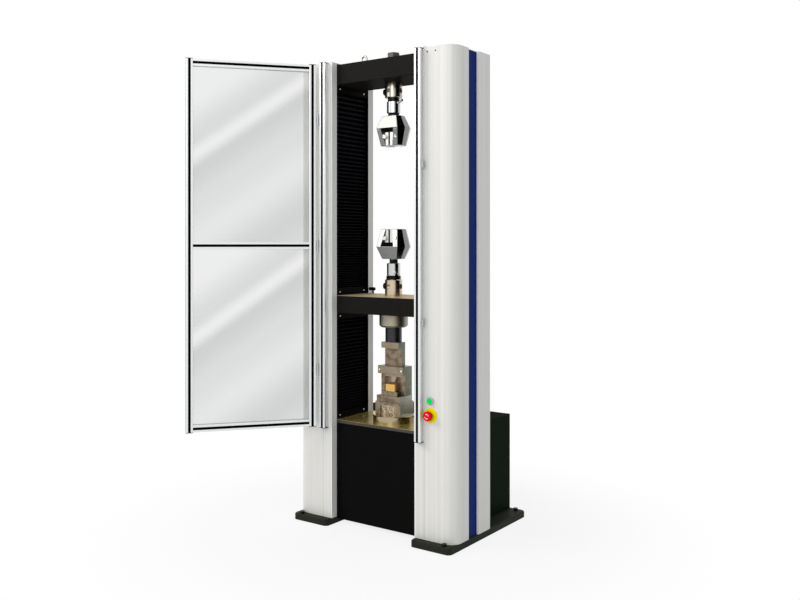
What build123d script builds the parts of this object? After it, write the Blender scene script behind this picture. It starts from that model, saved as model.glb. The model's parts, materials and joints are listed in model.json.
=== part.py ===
from build123d import *
import math
import os

# Floor-standing universal testing machine: two screw columns, a moving crosshead, wedge grips, a press
# fixture and a hinged guard door. Millimetres, +Z up, -Y is the front, origin on the floor under the load axis.

# Clearances
RUNNING = 0.05
SEAT = 0.05
LOOSE = 0.3

# Columns
COLUMN_GAP = 436.0
COLUMN_WIDTH = 192.0
COLUMN_DEPTH = 299.0
AXIS_BACK = 158.0
MACHINE_HEIGHT = 2017.0
FRONT_CORNER_R = 48.0
REAR_CORNER_R = 24.0
CASING_WALL = 3.0
FRONT_LIP = 34.0
REAR_LIP = 37.0
STRIP_FROM_FRONT = 108.0
STRIP_WIDTH = 79.0
STRIP_RECESS = 10.0
CAP_THICKNESS = 3.0

# Feet
FOOT_HEIGHT = 27.0
FOOT_LENGTH = 642.0
FOOT_TOE = 37.0
FOOT_CORNER_R = 20.0
FOOT_BEVEL = 4.0
BOLT_R = 6.0
BOLT_HEAD_FLATS = 19.0
BOLT_HEAD_HEIGHT = 10.0
BOLT_INSET_FRONT = 19.0
BOLT_INSET_REAR = 25.0
BOLT_OUTWARD = 154.0
BOLT_CLEAR = 16.0
BOLT_EDGE = 22.0

# Beams
SLOT_PLAY = 3.0
BEAM_END_PLAY = 2.0
BEAM_WALL_GAP = 20.0
TABLE_TOP = 453.0
TABLE_THICKNESS = 70.0
TABLE_EDGE = 13.5
CROSSHEAD_BOTTOM = 921.0
CROSSHEAD_HEIGHT = 76.0
CROSSHEAD_DEPTH = 248.0
TOP_BEAM_SET_DOWN = 7.0
TOP_BEAM_HEIGHT = 87.0
TOP_BEAM_DEPTH = 204.0
BEAM_CHAMFER = 2.0

# Screws, guides and their fittings
SCREW_X = 335.0
SCREW_R = 20.0
JOURNAL_R = 15.0
SHOULDER_GAP = 7.0
BEARING_R = 40.0
BEARING_HEIGHT = 40.0
BEARING_LIP = 13.0
GUIDE_X = 285.0
GUIDE_Y = 55.0
GUIDE_R = 18.0
GUIDE_SEAT = 50.0
BUSH_WALL = 6.0
BUSH_PROUD = 10.0
NUT_R = 28.0
NUT_FLANGE_R = 40.0
NUT_FLANGE_HEIGHT = 14.0

# Drive
SYNC_PULLEY_R = 40.0
DRIVEN_PULLEY_R = 50.0
MOTOR_PULLEY_R = 25.0
PULLEY_HEIGHT = 20.0
PULLEY_GAP = 4.0
BELT_THICKNESS = 4.0
BELT_WIDTH = 16.0
TOOTH_COUNT = 24
TOOTH_DEPTH = 1.5
MOTOR_X = 110.0
MOTOR_Y = 24.0
MOTOR_SIZE = 120.0
MOTOR_HEIGHT = 190.0
MOTOR_SHAFT_R = 9.5
MOTOR_PLATE = 12.0
MOTOR_CORNER_R = 12.0
STANDOFF_R = 7.0
STANDOFF_INSET = 7.5

# Base
LEG_SIZE = 40.0
LEG_INSET = 8.0
TIE_HEIGHT = 40.0
SHEET = 2.0
PANEL_BOTTOM = 20.0
CABINET_WIDTH = 670.0
CABINET_DEPTH = 296.0
CABINET_HEIGHT = 427.0
LOUVRE_LENGTH = 120.0
LOUVRE_HEIGHT = 6.0
LOUVRE_PITCH = 18.0
LOUVRE_ROWS = 8
LOUVRE_X = 150.0
DRIVE_BOX = (120.0, 190.0, 250.0)
DRIVE_BOX_X = -90.0
DRIVE_BOX_BACK = 60.0
FIN_COUNT = 9
FIN_DEPTH = 25.0
FIN_THICKNESS = 4.0

# Bellows
BELLOWS_CREST = 8.0
BELLOWS_DEPTH = 20.0
BELLOWS_SKIN = 1.5
UPPER_PLEATS = 62
UPPER_SAG = 2.6
LOWER_PLEATS = 31
LOWER_SAG = 1.7
FLANGE_HEIGHT = 30.0
FLANGE_PLATE = 3.0
FLANGE_FACE = 4.0

# Top fittings
DRAW_WASHER_R = 34.0
DRAW_WASHER_HEIGHT = 8.0
DRAW_NUT_FLATS = 50.0
DRAW_NUT_HEIGHT = 37.0
DRAW_NUT_BEVEL = 3.0
EYE_X = 161.0
EYE_COLLAR_R = 15.0
EYE_COLLAR_HEIGHT = 8.0
EYE_NECK_R = 6.0
EYE_NECK_HEIGHT = 15.0
EYE_RING_R = 14.0
EYE_WIRE_R = 4.5

# Load string
SOCKET_R = 38.0
SOCKET_BEVEL = 3.0
UPPER_SOCKET_HEIGHT = 65.0
UPPER_NOSE_HEIGHT = 15.0
UPPER_NOSE_R = 25.5
LOWER_SOCKET_HEIGHT = 72.0
LOWER_NOSE_HEIGHT = 15.0
LOWER_NOSE_R = 32.0
SLEEVE_R = 29.5
UPPER_SLEEVE_HEIGHT = 52.0
LOWER_SLEEVE_HEIGHT = 56.0
SLEEVE_BEVEL = 2.0
UPPER_NECK_HEIGHT = 12.0
UPPER_NECK_R = 24.0
LOWER_NECK_HEIGHT = 18.0
SHANK_R = 18.0
SHANK_END = 10.0
PIN_R = 11.0
PIN_HEAD_R = 14.0
PIN_HEAD = 10.0
PIN_FROM_MOUTH = 30.0
SIDE_HOLE_R = 9.0
SIDE_HOLE_DEPTH = 12.0
BAR_R = 5.5
BAR_LENGTH = 34.0
BAR_TILT = 20.0
BAR_TURN = -12.0
BAR_FROM_NOSE = 10.0

# Wedge grips
GRIP_WIDTH = 146.0
GRIP_DEPTH = 105.0
GRIP_CHAMFER = 18.0
GRIP_CHAMFER_RATIO = 34.0 / 18.0
GRIP_SHANK_WIDTH = 97.0
GRIP_SHANK_DEPTH = 66.0
GRIP_MOUTH_WIDTH = 108.0
GRIP_MOUTH_DEPTH = 70.0
GRIP_END_CHAMFER = 11.0
GRIP_EDGE = 1.5
GRIP_SHANK_HEIGHT = 52.0
GRIP_MOUTH_HEIGHT = 78.0
WEDGE_ANGLE = 12.0
WEDGE_MOUTH = 18.0
WEDGE_ROOF = 2.0
JAW_GAP = 5.0
JAW_HEIGHT = 56.0
JAW_DEPTH = 66.0
JAW_SET_IN = 2.0
JAW_PLAY = 0.15

# Press tools and fixture
LOAD_CELL_R = 62.5
LOAD_CELL_HEIGHT = 59.0
LOAD_CELL_BEVEL = 8.0
ADAPTER_R = 36.0
ADAPTER_HEIGHT = 65.0
RAM_WIDTH = 92.0
RAM_HEAD_HEIGHT = 26.0
RAM_HEAD_FRONT = -28.0
RAM_BACK = 22.0
RAM_THICKNESS = 22.0
RAM_BOTTOM = 645.0
NOSE_WIDTH = 28.0
NOSE_TIP = 14.0
NOSE_FRONT = -1.0
NOSE_GAP = 4.0
DISC_R = 90.0
DISC_HEIGHT = 30.0
DISC_BEVEL = 2.0
FIXTURE_EDGE = 1.0
BASE_WIDTH = 132.0
BASE_FRONT = -44.0
BASE_BACK = 56.0
BASE_HEIGHT = 57.0
BASE_STEP = 26.0
BASE_STEP_INSET = 4.0
BASE_RECESS_WIDTH = 84.0
BASE_RECESS_HEIGHT = 42.0
BASE_RECESS_DEPTH = 8.0
SEAT_WIDTH = 80.0
SEAT_HEIGHT = 18.0
SEAT_FRONT = -32.0
SEAT_BACK = 20.0
FRAME_WIDTH = 130.0
FRAME_TOP = 692.0
FRAME_FRONT = -2.0
FRAME_BACK = 46.0
CROSSBAR_WIDTH = 136.0
CROSSBAR_HEIGHT = 34.0
CROSSBAR_FRONT = -24.0
SPECIMEN_WIDTH = 48.0
SPECIMEN_HEIGHT = 30.0
SPECIMEN_FRONT = -26.0
FRONT_BOARD = 13.0
REAR_BOARD = 22.0
BOARD_OFFSET = 4.0

# Crosshead trip
TRIP_GAP = 2.0
TRIP_LENGTH = 30.0
TRIP_R = 7.5
TRIP_BEVEL = 1.5
TRIP_INSET = 12.0
TRIP_RISE = 20.5
TRIP_STALK_R = 4.0
TRIP_STALK_INSET = 10.0

# Door and posts
PROFILE = 30.0
PROFILE_CORNER_R = 2.0
SLOT_MOUTH = 8.2
SLOT_LIP = 2.2
SLOT_CAVITY = 16.4
SLOT_SHOULDER = 3.0
SLOT_FLOOR = 8.0
SLOT_DEPTH = 9.0
CORE_R = 3.4
POST_X = 250.0
POST_BOTTOM = 424.0
POST_SET_DOWN = 5.0
DOOR_WIDTH = 556.0
DOOR_BOTTOM = 428.0
DOOR_SET_DOWN = 7.0
DOOR_RAIL_Z = 1216.0
DOOR_OPEN = 128.6
DOOR_GAP = 4.0
PANE_THICKNESS = 5.0
HINGE_OUT = 7.0
HINGE_FROM_BOTTOM = 246.0
HINGE_FROM_TOP = 241.0
HINGE_UNDER_RAIL = 2.0
HINGE_LENGTH = 50.0
KNUCKLE_R = 6.0
KNUCKLE_LENGTH = 16.0
HINGE_PIN_R = 2.5
LEAF_THICKNESS = 3.0
LEAF_START = 7.0
LEAF_END = 28.0
WEB_REACH = 10.0
CATCH_FROM_BOTTOM = 482.0
CATCH_FROM_TOP = 467.0
CATCH_SIZE = (8.0, 14.0, 32.0)
CATCH_BEVEL = 2.0

# Switches
SWITCH_X = 297.0
POWER_Z = 592.0
STOP_Z = 533.0
BARREL_R = 11.0
BARREL_LENGTH = 36.0
BEZEL_R = 15.0
BEZEL_PROUD = 11.0
BEZEL_BEVEL = 2.0
BUTTON_R = 12.0
BUTTON_PROUD = 15.0
BUTTON_LENGTH = 11.0
BUTTON_DOME = 2.0
BUTTON_TRAVEL = 3.0
BUTTON_STEM_R = 6.0
BUTTON_STEM = 18.0
STOP_PLATE_R = 30.0
STOP_PLATE = 8.0
STOP_PLATE_BEVEL = 5.0
COLLAR_R = 14.0
COLLAR_PROUD = 5.0
STOP_TRAVEL = 5.0
STOP_HEAD_R = 20.0
STOP_HEAD_LENGTH = 13.0
STOP_DOME = 5.0
STEM_R = 6.0
STEM_IN = 24.0

# Worked out from the values above
INNER_X = COLUMN_GAP / 2
OUTER_X = INNER_X + COLUMN_WIDTH
FRONT_Y = -AXIS_BACK
REAR_Y = FRONT_Y + COLUMN_DEPTH
SLOT_FRONT_Y = FRONT_Y + FRONT_LIP
SLOT_REAR_Y = REAR_Y - REAR_LIP
STRIP_FRONT_Y = FRONT_Y + STRIP_FROM_FRONT
STRIP_REAR_Y = STRIP_FRONT_Y + STRIP_WIDTH
CASING_TOP = MACHINE_HEIGHT - CAP_THICKNESS
END_FRONT_Y = SLOT_FRONT_Y + SLOT_PLAY
END_REAR_Y = SLOT_REAR_Y - SLOT_PLAY
MIDDLE_X = INNER_X - BEAM_END_PLAY
END_X = OUTER_X - BEAM_WALL_GAP
FOOT_FRONT_Y = FRONT_Y - FOOT_TOE
FOOT_REAR_Y = FOOT_FRONT_Y + FOOT_LENGTH
TABLE_BOTTOM = TABLE_TOP - TABLE_THICKNESS
CROSSHEAD_TOP = CROSSHEAD_BOTTOM + CROSSHEAD_HEIGHT
CROSSHEAD_REAR_Y = SLOT_FRONT_Y + CROSSHEAD_DEPTH
TOP_BEAM_TOP = MACHINE_HEIGHT - TOP_BEAM_SET_DOWN
TOP_BEAM_BOTTOM = TOP_BEAM_TOP - TOP_BEAM_HEIGHT
TOP_BEAM_REAR_Y = SLOT_FRONT_Y + TOP_BEAM_DEPTH
BUSH_R = GUIDE_R + RUNNING + BUSH_WALL
CABINET_REAR_Y = REAR_Y + CABINET_DEPTH
CABINET_TOP = FOOT_HEIGHT + CABINET_HEIGHT
BOLT_X = max(INNER_X + BOLT_OUTWARD, CABINET_WIDTH / 2 + BOLT_CLEAR)
FOOT_OUTER_X = max(OUTER_X, BOLT_X + BOLT_EDGE)
SYNC_TOP = TABLE_BOTTOM - PULLEY_GAP
SYNC_BOTTOM = SYNC_TOP - PULLEY_HEIGHT
DRIVEN_TOP = SYNC_BOTTOM - PULLEY_GAP
DRIVEN_BOTTOM = DRIVEN_TOP - PULLEY_HEIGHT
MOTOR_TOP = DRIVEN_BOTTOM - PULLEY_GAP
POST_FRONT_Y = FRONT_Y - PROFILE
POST_TOP = MACHINE_HEIGHT - POST_SET_DOWN
DOOR_TOP = POST_TOP - DOOR_SET_DOWN
HINGE_HEIGHTS = (
    DOOR_BOTTOM + HINGE_FROM_BOTTOM,
    DOOR_RAIL_Z - HINGE_UNDER_RAIL,
    DOOR_TOP - HINGE_FROM_TOP,
)
CATCH_HEIGHTS = (POST_BOTTOM + CATCH_FROM_BOTTOM, POST_TOP - CATCH_FROM_TOP)
HINGE_X = -(POST_X + PROFILE / 2 + HINGE_OUT)
HINGE_Y = POST_FRONT_Y - DOOR_GAP / 2
DOOR_LEFT_X = HINGE_X + HINGE_OUT
DOOR_BACK_Y = POST_FRONT_Y - DOOR_GAP
DISC_TOP = TABLE_TOP + DISC_HEIGHT
BASE_TOP = DISC_TOP + BASE_HEIGHT + BASE_STEP
SEAT_TOP = BASE_TOP + SEAT_HEIGHT
CELL_BOTTOM = CROSSHEAD_BOTTOM - LOAD_CELL_HEIGHT
ADAPTER_BOTTOM = CELL_BOTTOM - ADAPTER_HEIGHT
RAM_HEAD_BOTTOM = ADAPTER_BOTTOM - RAM_HEAD_HEIGHT


def block(x, y, z):
    """A box from its low and high values along each axis."""
    size = [high - low for low, high in (x, y, z)]
    middle = [(low + high) / 2 for low, high in (x, y, z)]
    return Pos(*middle) * Box(*size)


def post(x, y, z, radius):
    """An upright cylinder between two heights."""
    return Pos(x, y, (z[0] + z[1]) / 2) * Cylinder(radius, z[1] - z[0])


def along_y(x, y, z, radius):
    """A cylinder along Y between two places."""
    return Pos(x, (y[0] + y[1]) / 2, z) * Rot(90, 0, 0) * Cylinder(radius, y[1] - y[0])


def along_x(x, y, z, radius):
    """A cylinder along X between two places."""
    return Pos((x[0] + x[1]) / 2, y, z) * Rot(0, 90, 0) * Cylinder(radius, x[1] - x[0])


def pair(shape):
    """A piece and its mirror image on the other side of the load axis."""
    return [shape, mirror(shape, about=Plane.YZ)]


def save(name, *shapes):
    """Writes one node, of one or several separate solids."""
    solids = [solid for shape in shapes for solid in shape.solids()]
    whole = solids[0] if len(solids) == 1 else Compound(solids)
    export_step(whole, f"parts/{name}.step")


def column_outline(inset):
    """The right column seen from above, drawn in by a wall thickness."""
    low = Vector(INNER_X + inset, FRONT_Y + inset)
    high = Vector(OUTER_X - inset, REAR_Y - inset)
    middle = (low + high) / 2
    plan = Pos(middle.X, middle.Y) * Rectangle(high.X - low.X, high.Y - low.Y)
    front = plan.vertices().group_by(Axis.X)[-1].sort_by(Axis.Y)[0]
    plan = fillet(front, FRONT_CORNER_R - inset)
    rear = plan.vertices().group_by(Axis.X)[-1].sort_by(Axis.Y)[-1]
    return fillet(rear, REAR_CORNER_R - inset)


def raised(plan, low, high):
    """A plan drawing carried up between two heights."""
    return extrude(Pos(0, 0, low) * plan, high - low)


def switch_hole(z):
    """The round hole through the column front for one switch barrel."""
    return along_y(SWITCH_X, (FRONT_Y - CASING_WALL, FRONT_Y + 2 * CASING_WALL), z, BARREL_R + LOOSE)


def casing_half(y, z):
    """The part of the column's wall between two depths, open at the inner slot."""
    wall = column_outline(0) - column_outline(CASING_WALL)
    reach = (INNER_X - CASING_WALL, OUTER_X + CASING_WALL)
    slot = block((reach[0], INNER_X + 2 * CASING_WALL), (SLOT_FRONT_Y, SLOT_REAR_Y), z)
    return (raised(wall, *z) & block(reach, y, z)) - slot


def casings():
    """Front and rear shells, the blue strip seated between their returns, and the cap."""
    z = (FOOT_HEIGHT, CASING_TOP)
    strip_x = (OUTER_X - STRIP_RECESS - CASING_WALL, OUTER_X - STRIP_RECESS)
    return_x = (strip_x[0], OUTER_X - CASING_WALL / 2)
    front = casing_half((FRONT_Y - CASING_WALL, STRIP_FRONT_Y), z)
    front += block(return_x, (STRIP_FRONT_Y - CASING_WALL, STRIP_FRONT_Y), z)
    rear = casing_half((STRIP_REAR_Y, REAR_Y + CASING_WALL), z)
    rear += block(return_x, (STRIP_REAR_Y, STRIP_REAR_Y + CASING_WALL), z)
    strip = block(strip_x, (STRIP_FRONT_Y, STRIP_REAR_Y), z)
    cap = raised(column_outline(0), CASING_TOP, MACHINE_HEIGHT)
    notch_x = (strip_x[1], OUTER_X + CASING_WALL)
    cap -= block(notch_x, (STRIP_FRONT_Y, STRIP_REAR_Y), (CASING_TOP, MACHINE_HEIGHT))
    left_front = mirror(front, about=Plane.YZ)
    save("front_casings", front - switch_hole(POWER_Z) - switch_hole(STOP_Z), left_front)
    save("rear_casings", *pair(rear))
    save("trim_strips", *pair(strip))
    save("top_caps", *pair(cap))


def hex_head(x, y, low, flats, height):
    """A six-sided bolt head."""
    head = RegularPolygon(flats / 2, 6, major_radius=False)
    return extrude(Pos(x, y, low) * head, height)


def feet():
    """Long flat feet with rounded plan corners and a bevelled top, and their levelling bolts."""
    middle = ((INNER_X + FOOT_OUTER_X) / 2, (FOOT_FRONT_Y + FOOT_REAR_Y) / 2)
    plan = Pos(*middle) * RectangleRounded(FOOT_OUTER_X - INNER_X, FOOT_LENGTH, FOOT_CORNER_R)
    foot = raised(plan, 0, FOOT_HEIGHT)
    foot = chamfer(foot.faces().sort_by(Axis.Z)[-1].edges(), FOOT_BEVEL)
    bolts = []
    for y in (FOOT_FRONT_Y + BOLT_INSET_FRONT, FOOT_REAR_Y - BOLT_INSET_REAR):
        foot -= post(BOLT_X, y, (0, FOOT_HEIGHT), BOLT_R + SEAT)
        bolt = post(BOLT_X, y, (0, FOOT_HEIGHT), BOLT_R)
        bolt += hex_head(BOLT_X, y, FOOT_HEIGHT, BOLT_HEAD_FLATS, BOLT_HEAD_HEIGHT)
        bolts += pair(bolt)
    save("feet", *pair(foot))
    save("levelling_bolts", *bolts)


def base_frame():
    """Welded base under the table: ties on the feet, and four legs on the ties in each column."""
    tie_z = (FOOT_HEIGHT, FOOT_HEIGHT + TIE_HEIGHT)
    leg_z = (tie_z[1], TABLE_BOTTOM)
    leg_xs = (INNER_X + LEG_INSET, END_X - LEG_SIZE)
    leg_ys = (END_FRONT_Y, END_REAR_Y - LEG_SIZE)
    bars = []
    for y in leg_ys:
        bars.append(block((-END_X, END_X), (y, y + LEG_SIZE), tie_z))
        for x in leg_xs:
            bars += pair(block((x, x + LEG_SIZE), (y, y + LEG_SIZE), leg_z))
    bars += pair(block((leg_xs[1], END_X), (leg_ys[0] + LEG_SIZE, leg_ys[1]), tie_z))
    save("base_frame", *bars)


def beam(rear_y, z, end_rear_y):
    """A cross beam: deep between the columns, narrower where its ends run in the column slots."""
    middle = block((-MIDDLE_X, MIDDLE_X), (SLOT_FRONT_Y, rear_y), z)
    middle = chamfer(middle.edges().filter_by(Axis.X), BEAM_CHAMFER)
    return middle + block((-END_X, END_X), (END_FRONT_Y, end_rear_y), z)


def guide_places():
    """The four places of the guide columns, as X and Y."""
    return [(x, y) for x in (-GUIDE_X, GUIDE_X) for y in (-GUIDE_Y, GUIDE_Y)]


def worktable():
    """The fixed lower beam: bearing bores from below, guide seats, and a rebate for the front panel."""
    table = beam(REAR_Y, (TABLE_BOTTOM, TABLE_TOP), END_REAR_Y)
    rebate_z = (TABLE_BOTTOM, TABLE_TOP - TABLE_EDGE)
    table -= block((-MIDDLE_X, MIDDLE_X), (SLOT_FRONT_Y, END_FRONT_Y), rebate_z)
    for x in (-SCREW_X, SCREW_X):
        table -= post(x, 0, (TABLE_BOTTOM, TABLE_TOP - BEARING_LIP), BEARING_R + SEAT)
        table -= post(x, 0, (TABLE_BOTTOM, TABLE_TOP), SCREW_R + BEAM_CHAMFER)
    for x, y in guide_places():
        table -= post(x, y, (TABLE_TOP - GUIDE_SEAT, TABLE_TOP), GUIDE_R + SEAT)
    save("worktable", table)
    panel_y = (SLOT_FRONT_Y, SLOT_FRONT_Y + SLOT_PLAY)
    panel = block((-MIDDLE_X, MIDDLE_X), panel_y, (PANEL_BOTTOM, TABLE_TOP - TABLE_EDGE))
    save("front_panel", panel)


def top_beam():
    """The fixed upper beam with its bearing bores and guide seats, the draw nut and the lifting eyes on it."""
    upper = beam(TOP_BEAM_REAR_Y, (TOP_BEAM_BOTTOM, TOP_BEAM_TOP), TOP_BEAM_REAR_Y)
    for x in (-SCREW_X, SCREW_X):
        upper -= post(x, 0, (TOP_BEAM_BOTTOM, TOP_BEAM_BOTTOM + BEARING_HEIGHT), BEARING_R + SEAT)
    for x, y in guide_places():
        upper -= post(x, y, (TOP_BEAM_BOTTOM, TOP_BEAM_BOTTOM + GUIDE_SEAT), GUIDE_R + SEAT)
    save("top_beam", upper)
    washer_top = TOP_BEAM_TOP + DRAW_WASHER_HEIGHT
    nut = hex_head(0, 0, washer_top, DRAW_NUT_FLATS, DRAW_NUT_HEIGHT)
    nut = chamfer(nut.edges().group_by(Axis.Z)[-1], DRAW_NUT_BEVEL)
    nut += post(0, 0, (TOP_BEAM_TOP, washer_top), DRAW_WASHER_R)
    save("draw_nut", nut)
    collar_top = TOP_BEAM_TOP + EYE_COLLAR_HEIGHT
    eye = post(EYE_X, 0, (TOP_BEAM_TOP, collar_top), EYE_COLLAR_R)
    neck_top = collar_top + EYE_NECK_HEIGHT
    eye += post(EYE_X, 0, (collar_top, neck_top), EYE_NECK_R)
    ring_z = neck_top + EYE_RING_R
    eye += Pos(EYE_X, 0, ring_z) * Rot(90, 0, 0) * Torus(EYE_RING_R, EYE_WIRE_R)
    save("lifting_eyes", *pair(eye))


def guides_and_bearings():
    """Four guide columns between the fixed beams, and a bearing at each end of each screw."""
    span = (TABLE_TOP - GUIDE_SEAT, TOP_BEAM_BOTTOM + GUIDE_SEAT)
    save("guide_columns", *[post(x, y, span, GUIDE_R) for x, y in guide_places()])
    lower_top = TABLE_TOP - BEARING_LIP
    spans = (
        (lower_top - BEARING_HEIGHT, lower_top),
        (TOP_BEAM_BOTTOM, TOP_BEAM_BOTTOM + BEARING_HEIGHT),
    )
    rings = []
    for z in spans:
        ring = post(SCREW_X, 0, z, BEARING_R) - post(SCREW_X, 0, z, JOURNAL_R + RUNNING)
        rings += pair(ring)
    save("screw_bearings", *rings)


def pulley(x, y, z, radius):
    """A toothed belt pulley: a plain rim cut by a ring of tooth gaps."""
    wheel = Circle(radius)
    gap = Rectangle(2 * TOOTH_DEPTH, math.pi * radius / TOOTH_COUNT)
    wheel -= PolarLocations(radius, TOOTH_COUNT) * gap
    return raised(Pos(x, y) * wheel, *z)


def screws():
    """The two ball screws with their end journals and belt pulleys."""
    thread_z = (TABLE_TOP + SHOULDER_GAP, TOP_BEAM_BOTTOM - SHOULDER_GAP)
    top = TOP_BEAM_BOTTOM + BEARING_HEIGHT - LOOSE
    screw = post(SCREW_X, 0, thread_z, SCREW_R) + post(SCREW_X, 0, (SYNC_BOTTOM, top), JOURNAL_R)
    screw += pulley(SCREW_X, 0, (SYNC_BOTTOM, SYNC_TOP), SYNC_PULLEY_R)
    save("left_screw", mirror(screw, about=Plane.YZ))
    screw += post(SCREW_X, 0, (DRIVEN_BOTTOM, SYNC_BOTTOM), JOURNAL_R)
    screw += pulley(SCREW_X, 0, (DRIVEN_BOTTOM, DRIVEN_TOP), DRIVEN_PULLEY_R)
    save("right_screw", screw)


def belt(first, second, z):
    """A flat loop round two wheels, each given as X, Y and radius."""
    loops = []
    for grow in (LOOSE + BELT_THICKNESS, LOOSE):
        edges = []
        for x, y, radius in (first, second):
            edges += (Pos(x, y) * Circle(radius + grow)).edges()
        loops.append(make_hull(edges))
    return raised(loops[0] - loops[1], *z)


def drive():
    """The servo motor hung under the table on its mounting plate, its pulley and the two belts."""
    half = MOTOR_SIZE / 2
    plate_z = (MOTOR_TOP - MOTOR_PLATE, MOTOR_TOP)
    body_plan = Pos(MOTOR_X, MOTOR_Y) * RectangleRounded(MOTOR_SIZE, MOTOR_SIZE, MOTOR_CORNER_R)
    motor = raised(body_plan, plate_z[0] - MOTOR_HEIGHT, plate_z[0])
    motor += block((MOTOR_X - half, MOTOR_X + half), (MOTOR_Y - half, MOTOR_Y + half), plate_z)
    reach = half - STANDOFF_INSET
    for dx in (-reach, reach):
        for dy in (-reach, reach):
            motor += post(MOTOR_X + dx, MOTOR_Y + dy, (MOTOR_TOP, TABLE_BOTTOM), STANDOFF_R)
    shaft_hole = (plate_z[0] - MOTOR_PLATE, MOTOR_TOP)
    motor -= post(MOTOR_X, MOTOR_Y, shaft_hole, MOTOR_SHAFT_R + RUNNING)
    save("drive_motor", motor)
    wheel = pulley(MOTOR_X, MOTOR_Y, (DRIVEN_BOTTOM, DRIVEN_TOP), MOTOR_PULLEY_R)
    wheel += post(MOTOR_X, MOTOR_Y, (plate_z[0], DRIVEN_BOTTOM), MOTOR_SHAFT_R)
    save("motor_pulley", wheel)
    inset = (PULLEY_HEIGHT - BELT_WIDTH) / 2
    sync_z = (SYNC_BOTTOM + inset, SYNC_TOP - inset)
    sync = belt((-SCREW_X, 0, SYNC_PULLEY_R), (SCREW_X, 0, SYNC_PULLEY_R), sync_z)
    drive_z = (DRIVEN_BOTTOM + inset, DRIVEN_TOP - inset)
    main = belt((MOTOR_X, MOTOR_Y, MOTOR_PULLEY_R), (SCREW_X, 0, DRIVEN_PULLEY_R), drive_z)
    save("drive_belts", sync, main)


def rear_cabinet():
    """A sheet-metal cabinet open at the rear, its louvred cover and the servo drive that stands in it."""
    half = CABINET_WIDTH / 2
    z = (FOOT_HEIGHT, CABINET_TOP)
    shell = block((-half, half), (REAR_Y, CABINET_REAR_Y), z)
    inner_x = (SHEET - half, half - SHEET)
    inner_z = (FOOT_HEIGHT + SHEET, CABINET_TOP - SHEET)
    shell -= block(inner_x, (REAR_Y + SHEET, CABINET_REAR_Y), inner_z)
    save("rear_cabinet", shell)
    cover = block(inner_x, (CABINET_REAR_Y - SHEET, CABINET_REAR_Y), inner_z)
    middle_z = (FOOT_HEIGHT + CABINET_TOP) / 2
    for x in (-LOUVRE_X, LOUVRE_X):
        for row in range(LOUVRE_ROWS):
            louvre_z = middle_z + (row - (LOUVRE_ROWS - 1) / 2) * LOUVRE_PITCH
            slot = Box(LOUVRE_LENGTH, 4 * SHEET, LOUVRE_HEIGHT)
            cover -= Pos(x, CABINET_REAR_Y, louvre_z) * slot
    save("rear_cover", cover)
    width, depth, height = DRIVE_BOX
    box_y = REAR_Y + SHEET + DRIVE_BOX_BACK
    x = (DRIVE_BOX_X - width / 2, DRIVE_BOX_X + width / 2)
    drive_z = (FOOT_HEIGHT + SHEET, FOOT_HEIGHT + SHEET + height)
    box = block(x, (box_y, box_y + depth), drive_z)
    pitch = depth / FIN_COUNT
    for fin in range(FIN_COUNT):
        fin_y = box_y + (fin + 0.5) * pitch
        fin_span = (fin_y - FIN_THICKNESS / 2, fin_y + FIN_THICKNESS / 2)
        box += block((x[1], x[1] + FIN_DEPTH), fin_span, drive_z)
    save("servo_drive", box)


def bellows(z, pleats, sag):
    """A pleated skin: a zigzag of thin flat folds, drawn from the side and carried across the slot.
    It hangs, so the top fold is open sag times as wide as the bottom one."""
    crest = INNER_X + BELLOWS_CREST
    rise = (z[1] - z[0]) / (sag - 1)
    folds = 2 * pleats
    near = [(crest + BELLOWS_DEPTH * (i % 2), z[0] + rise * (sag ** (i / folds) - 1)) for i in range(folds + 1)]
    far = [(x + BELLOWS_SKIN, height) for x, height in reversed(near)]
    side = make_face(Plane.XZ * Polyline(*near, *far, close=True))
    return Pos(0, END_REAR_Y, 0) * extrude(side, END_REAR_Y - END_FRONT_Y, dir=(0, -1, 0))


def flange(base_z, up):
    """A bellows end flange: a face plate across the slot with a foot on the beam. up is 1 or -1."""
    plate_x = (INNER_X + FLANGE_FACE, INNER_X + FLANGE_FACE + FLANGE_PLATE)
    foot_x = (plate_x[0], INNER_X + BELLOWS_CREST + BELLOWS_DEPTH)
    y = (END_FRONT_Y, END_REAR_Y)
    face = block(plate_x, y, sorted((base_z, base_z + up * FLANGE_HEIGHT)))
    return face + block(foot_x, y, sorted((base_z, base_z + up * FLANGE_PLATE)))


def covers():
    """Bellows above and below the crosshead, with their fixed and moving end flanges."""
    upper_z = (CROSSHEAD_TOP + FLANGE_PLATE, TOP_BEAM_BOTTOM - FLANGE_PLATE)
    lower_z = (TABLE_TOP + FLANGE_PLATE, CROSSHEAD_BOTTOM - FLANGE_PLATE)
    save("upper_bellows", *pair(bellows(upper_z, UPPER_PLEATS, UPPER_SAG)))
    save("lower_bellows", *pair(bellows(lower_z, LOWER_PLEATS, LOWER_SAG)))
    save("fixed_flanges", *pair(flange(TOP_BEAM_BOTTOM, -1)), *pair(flange(TABLE_TOP, 1)))
    moving = pair(flange(CROSSHEAD_TOP, 1)) + pair(flange(CROSSHEAD_BOTTOM, -1))
    save("moving_flanges", *moving)


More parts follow.
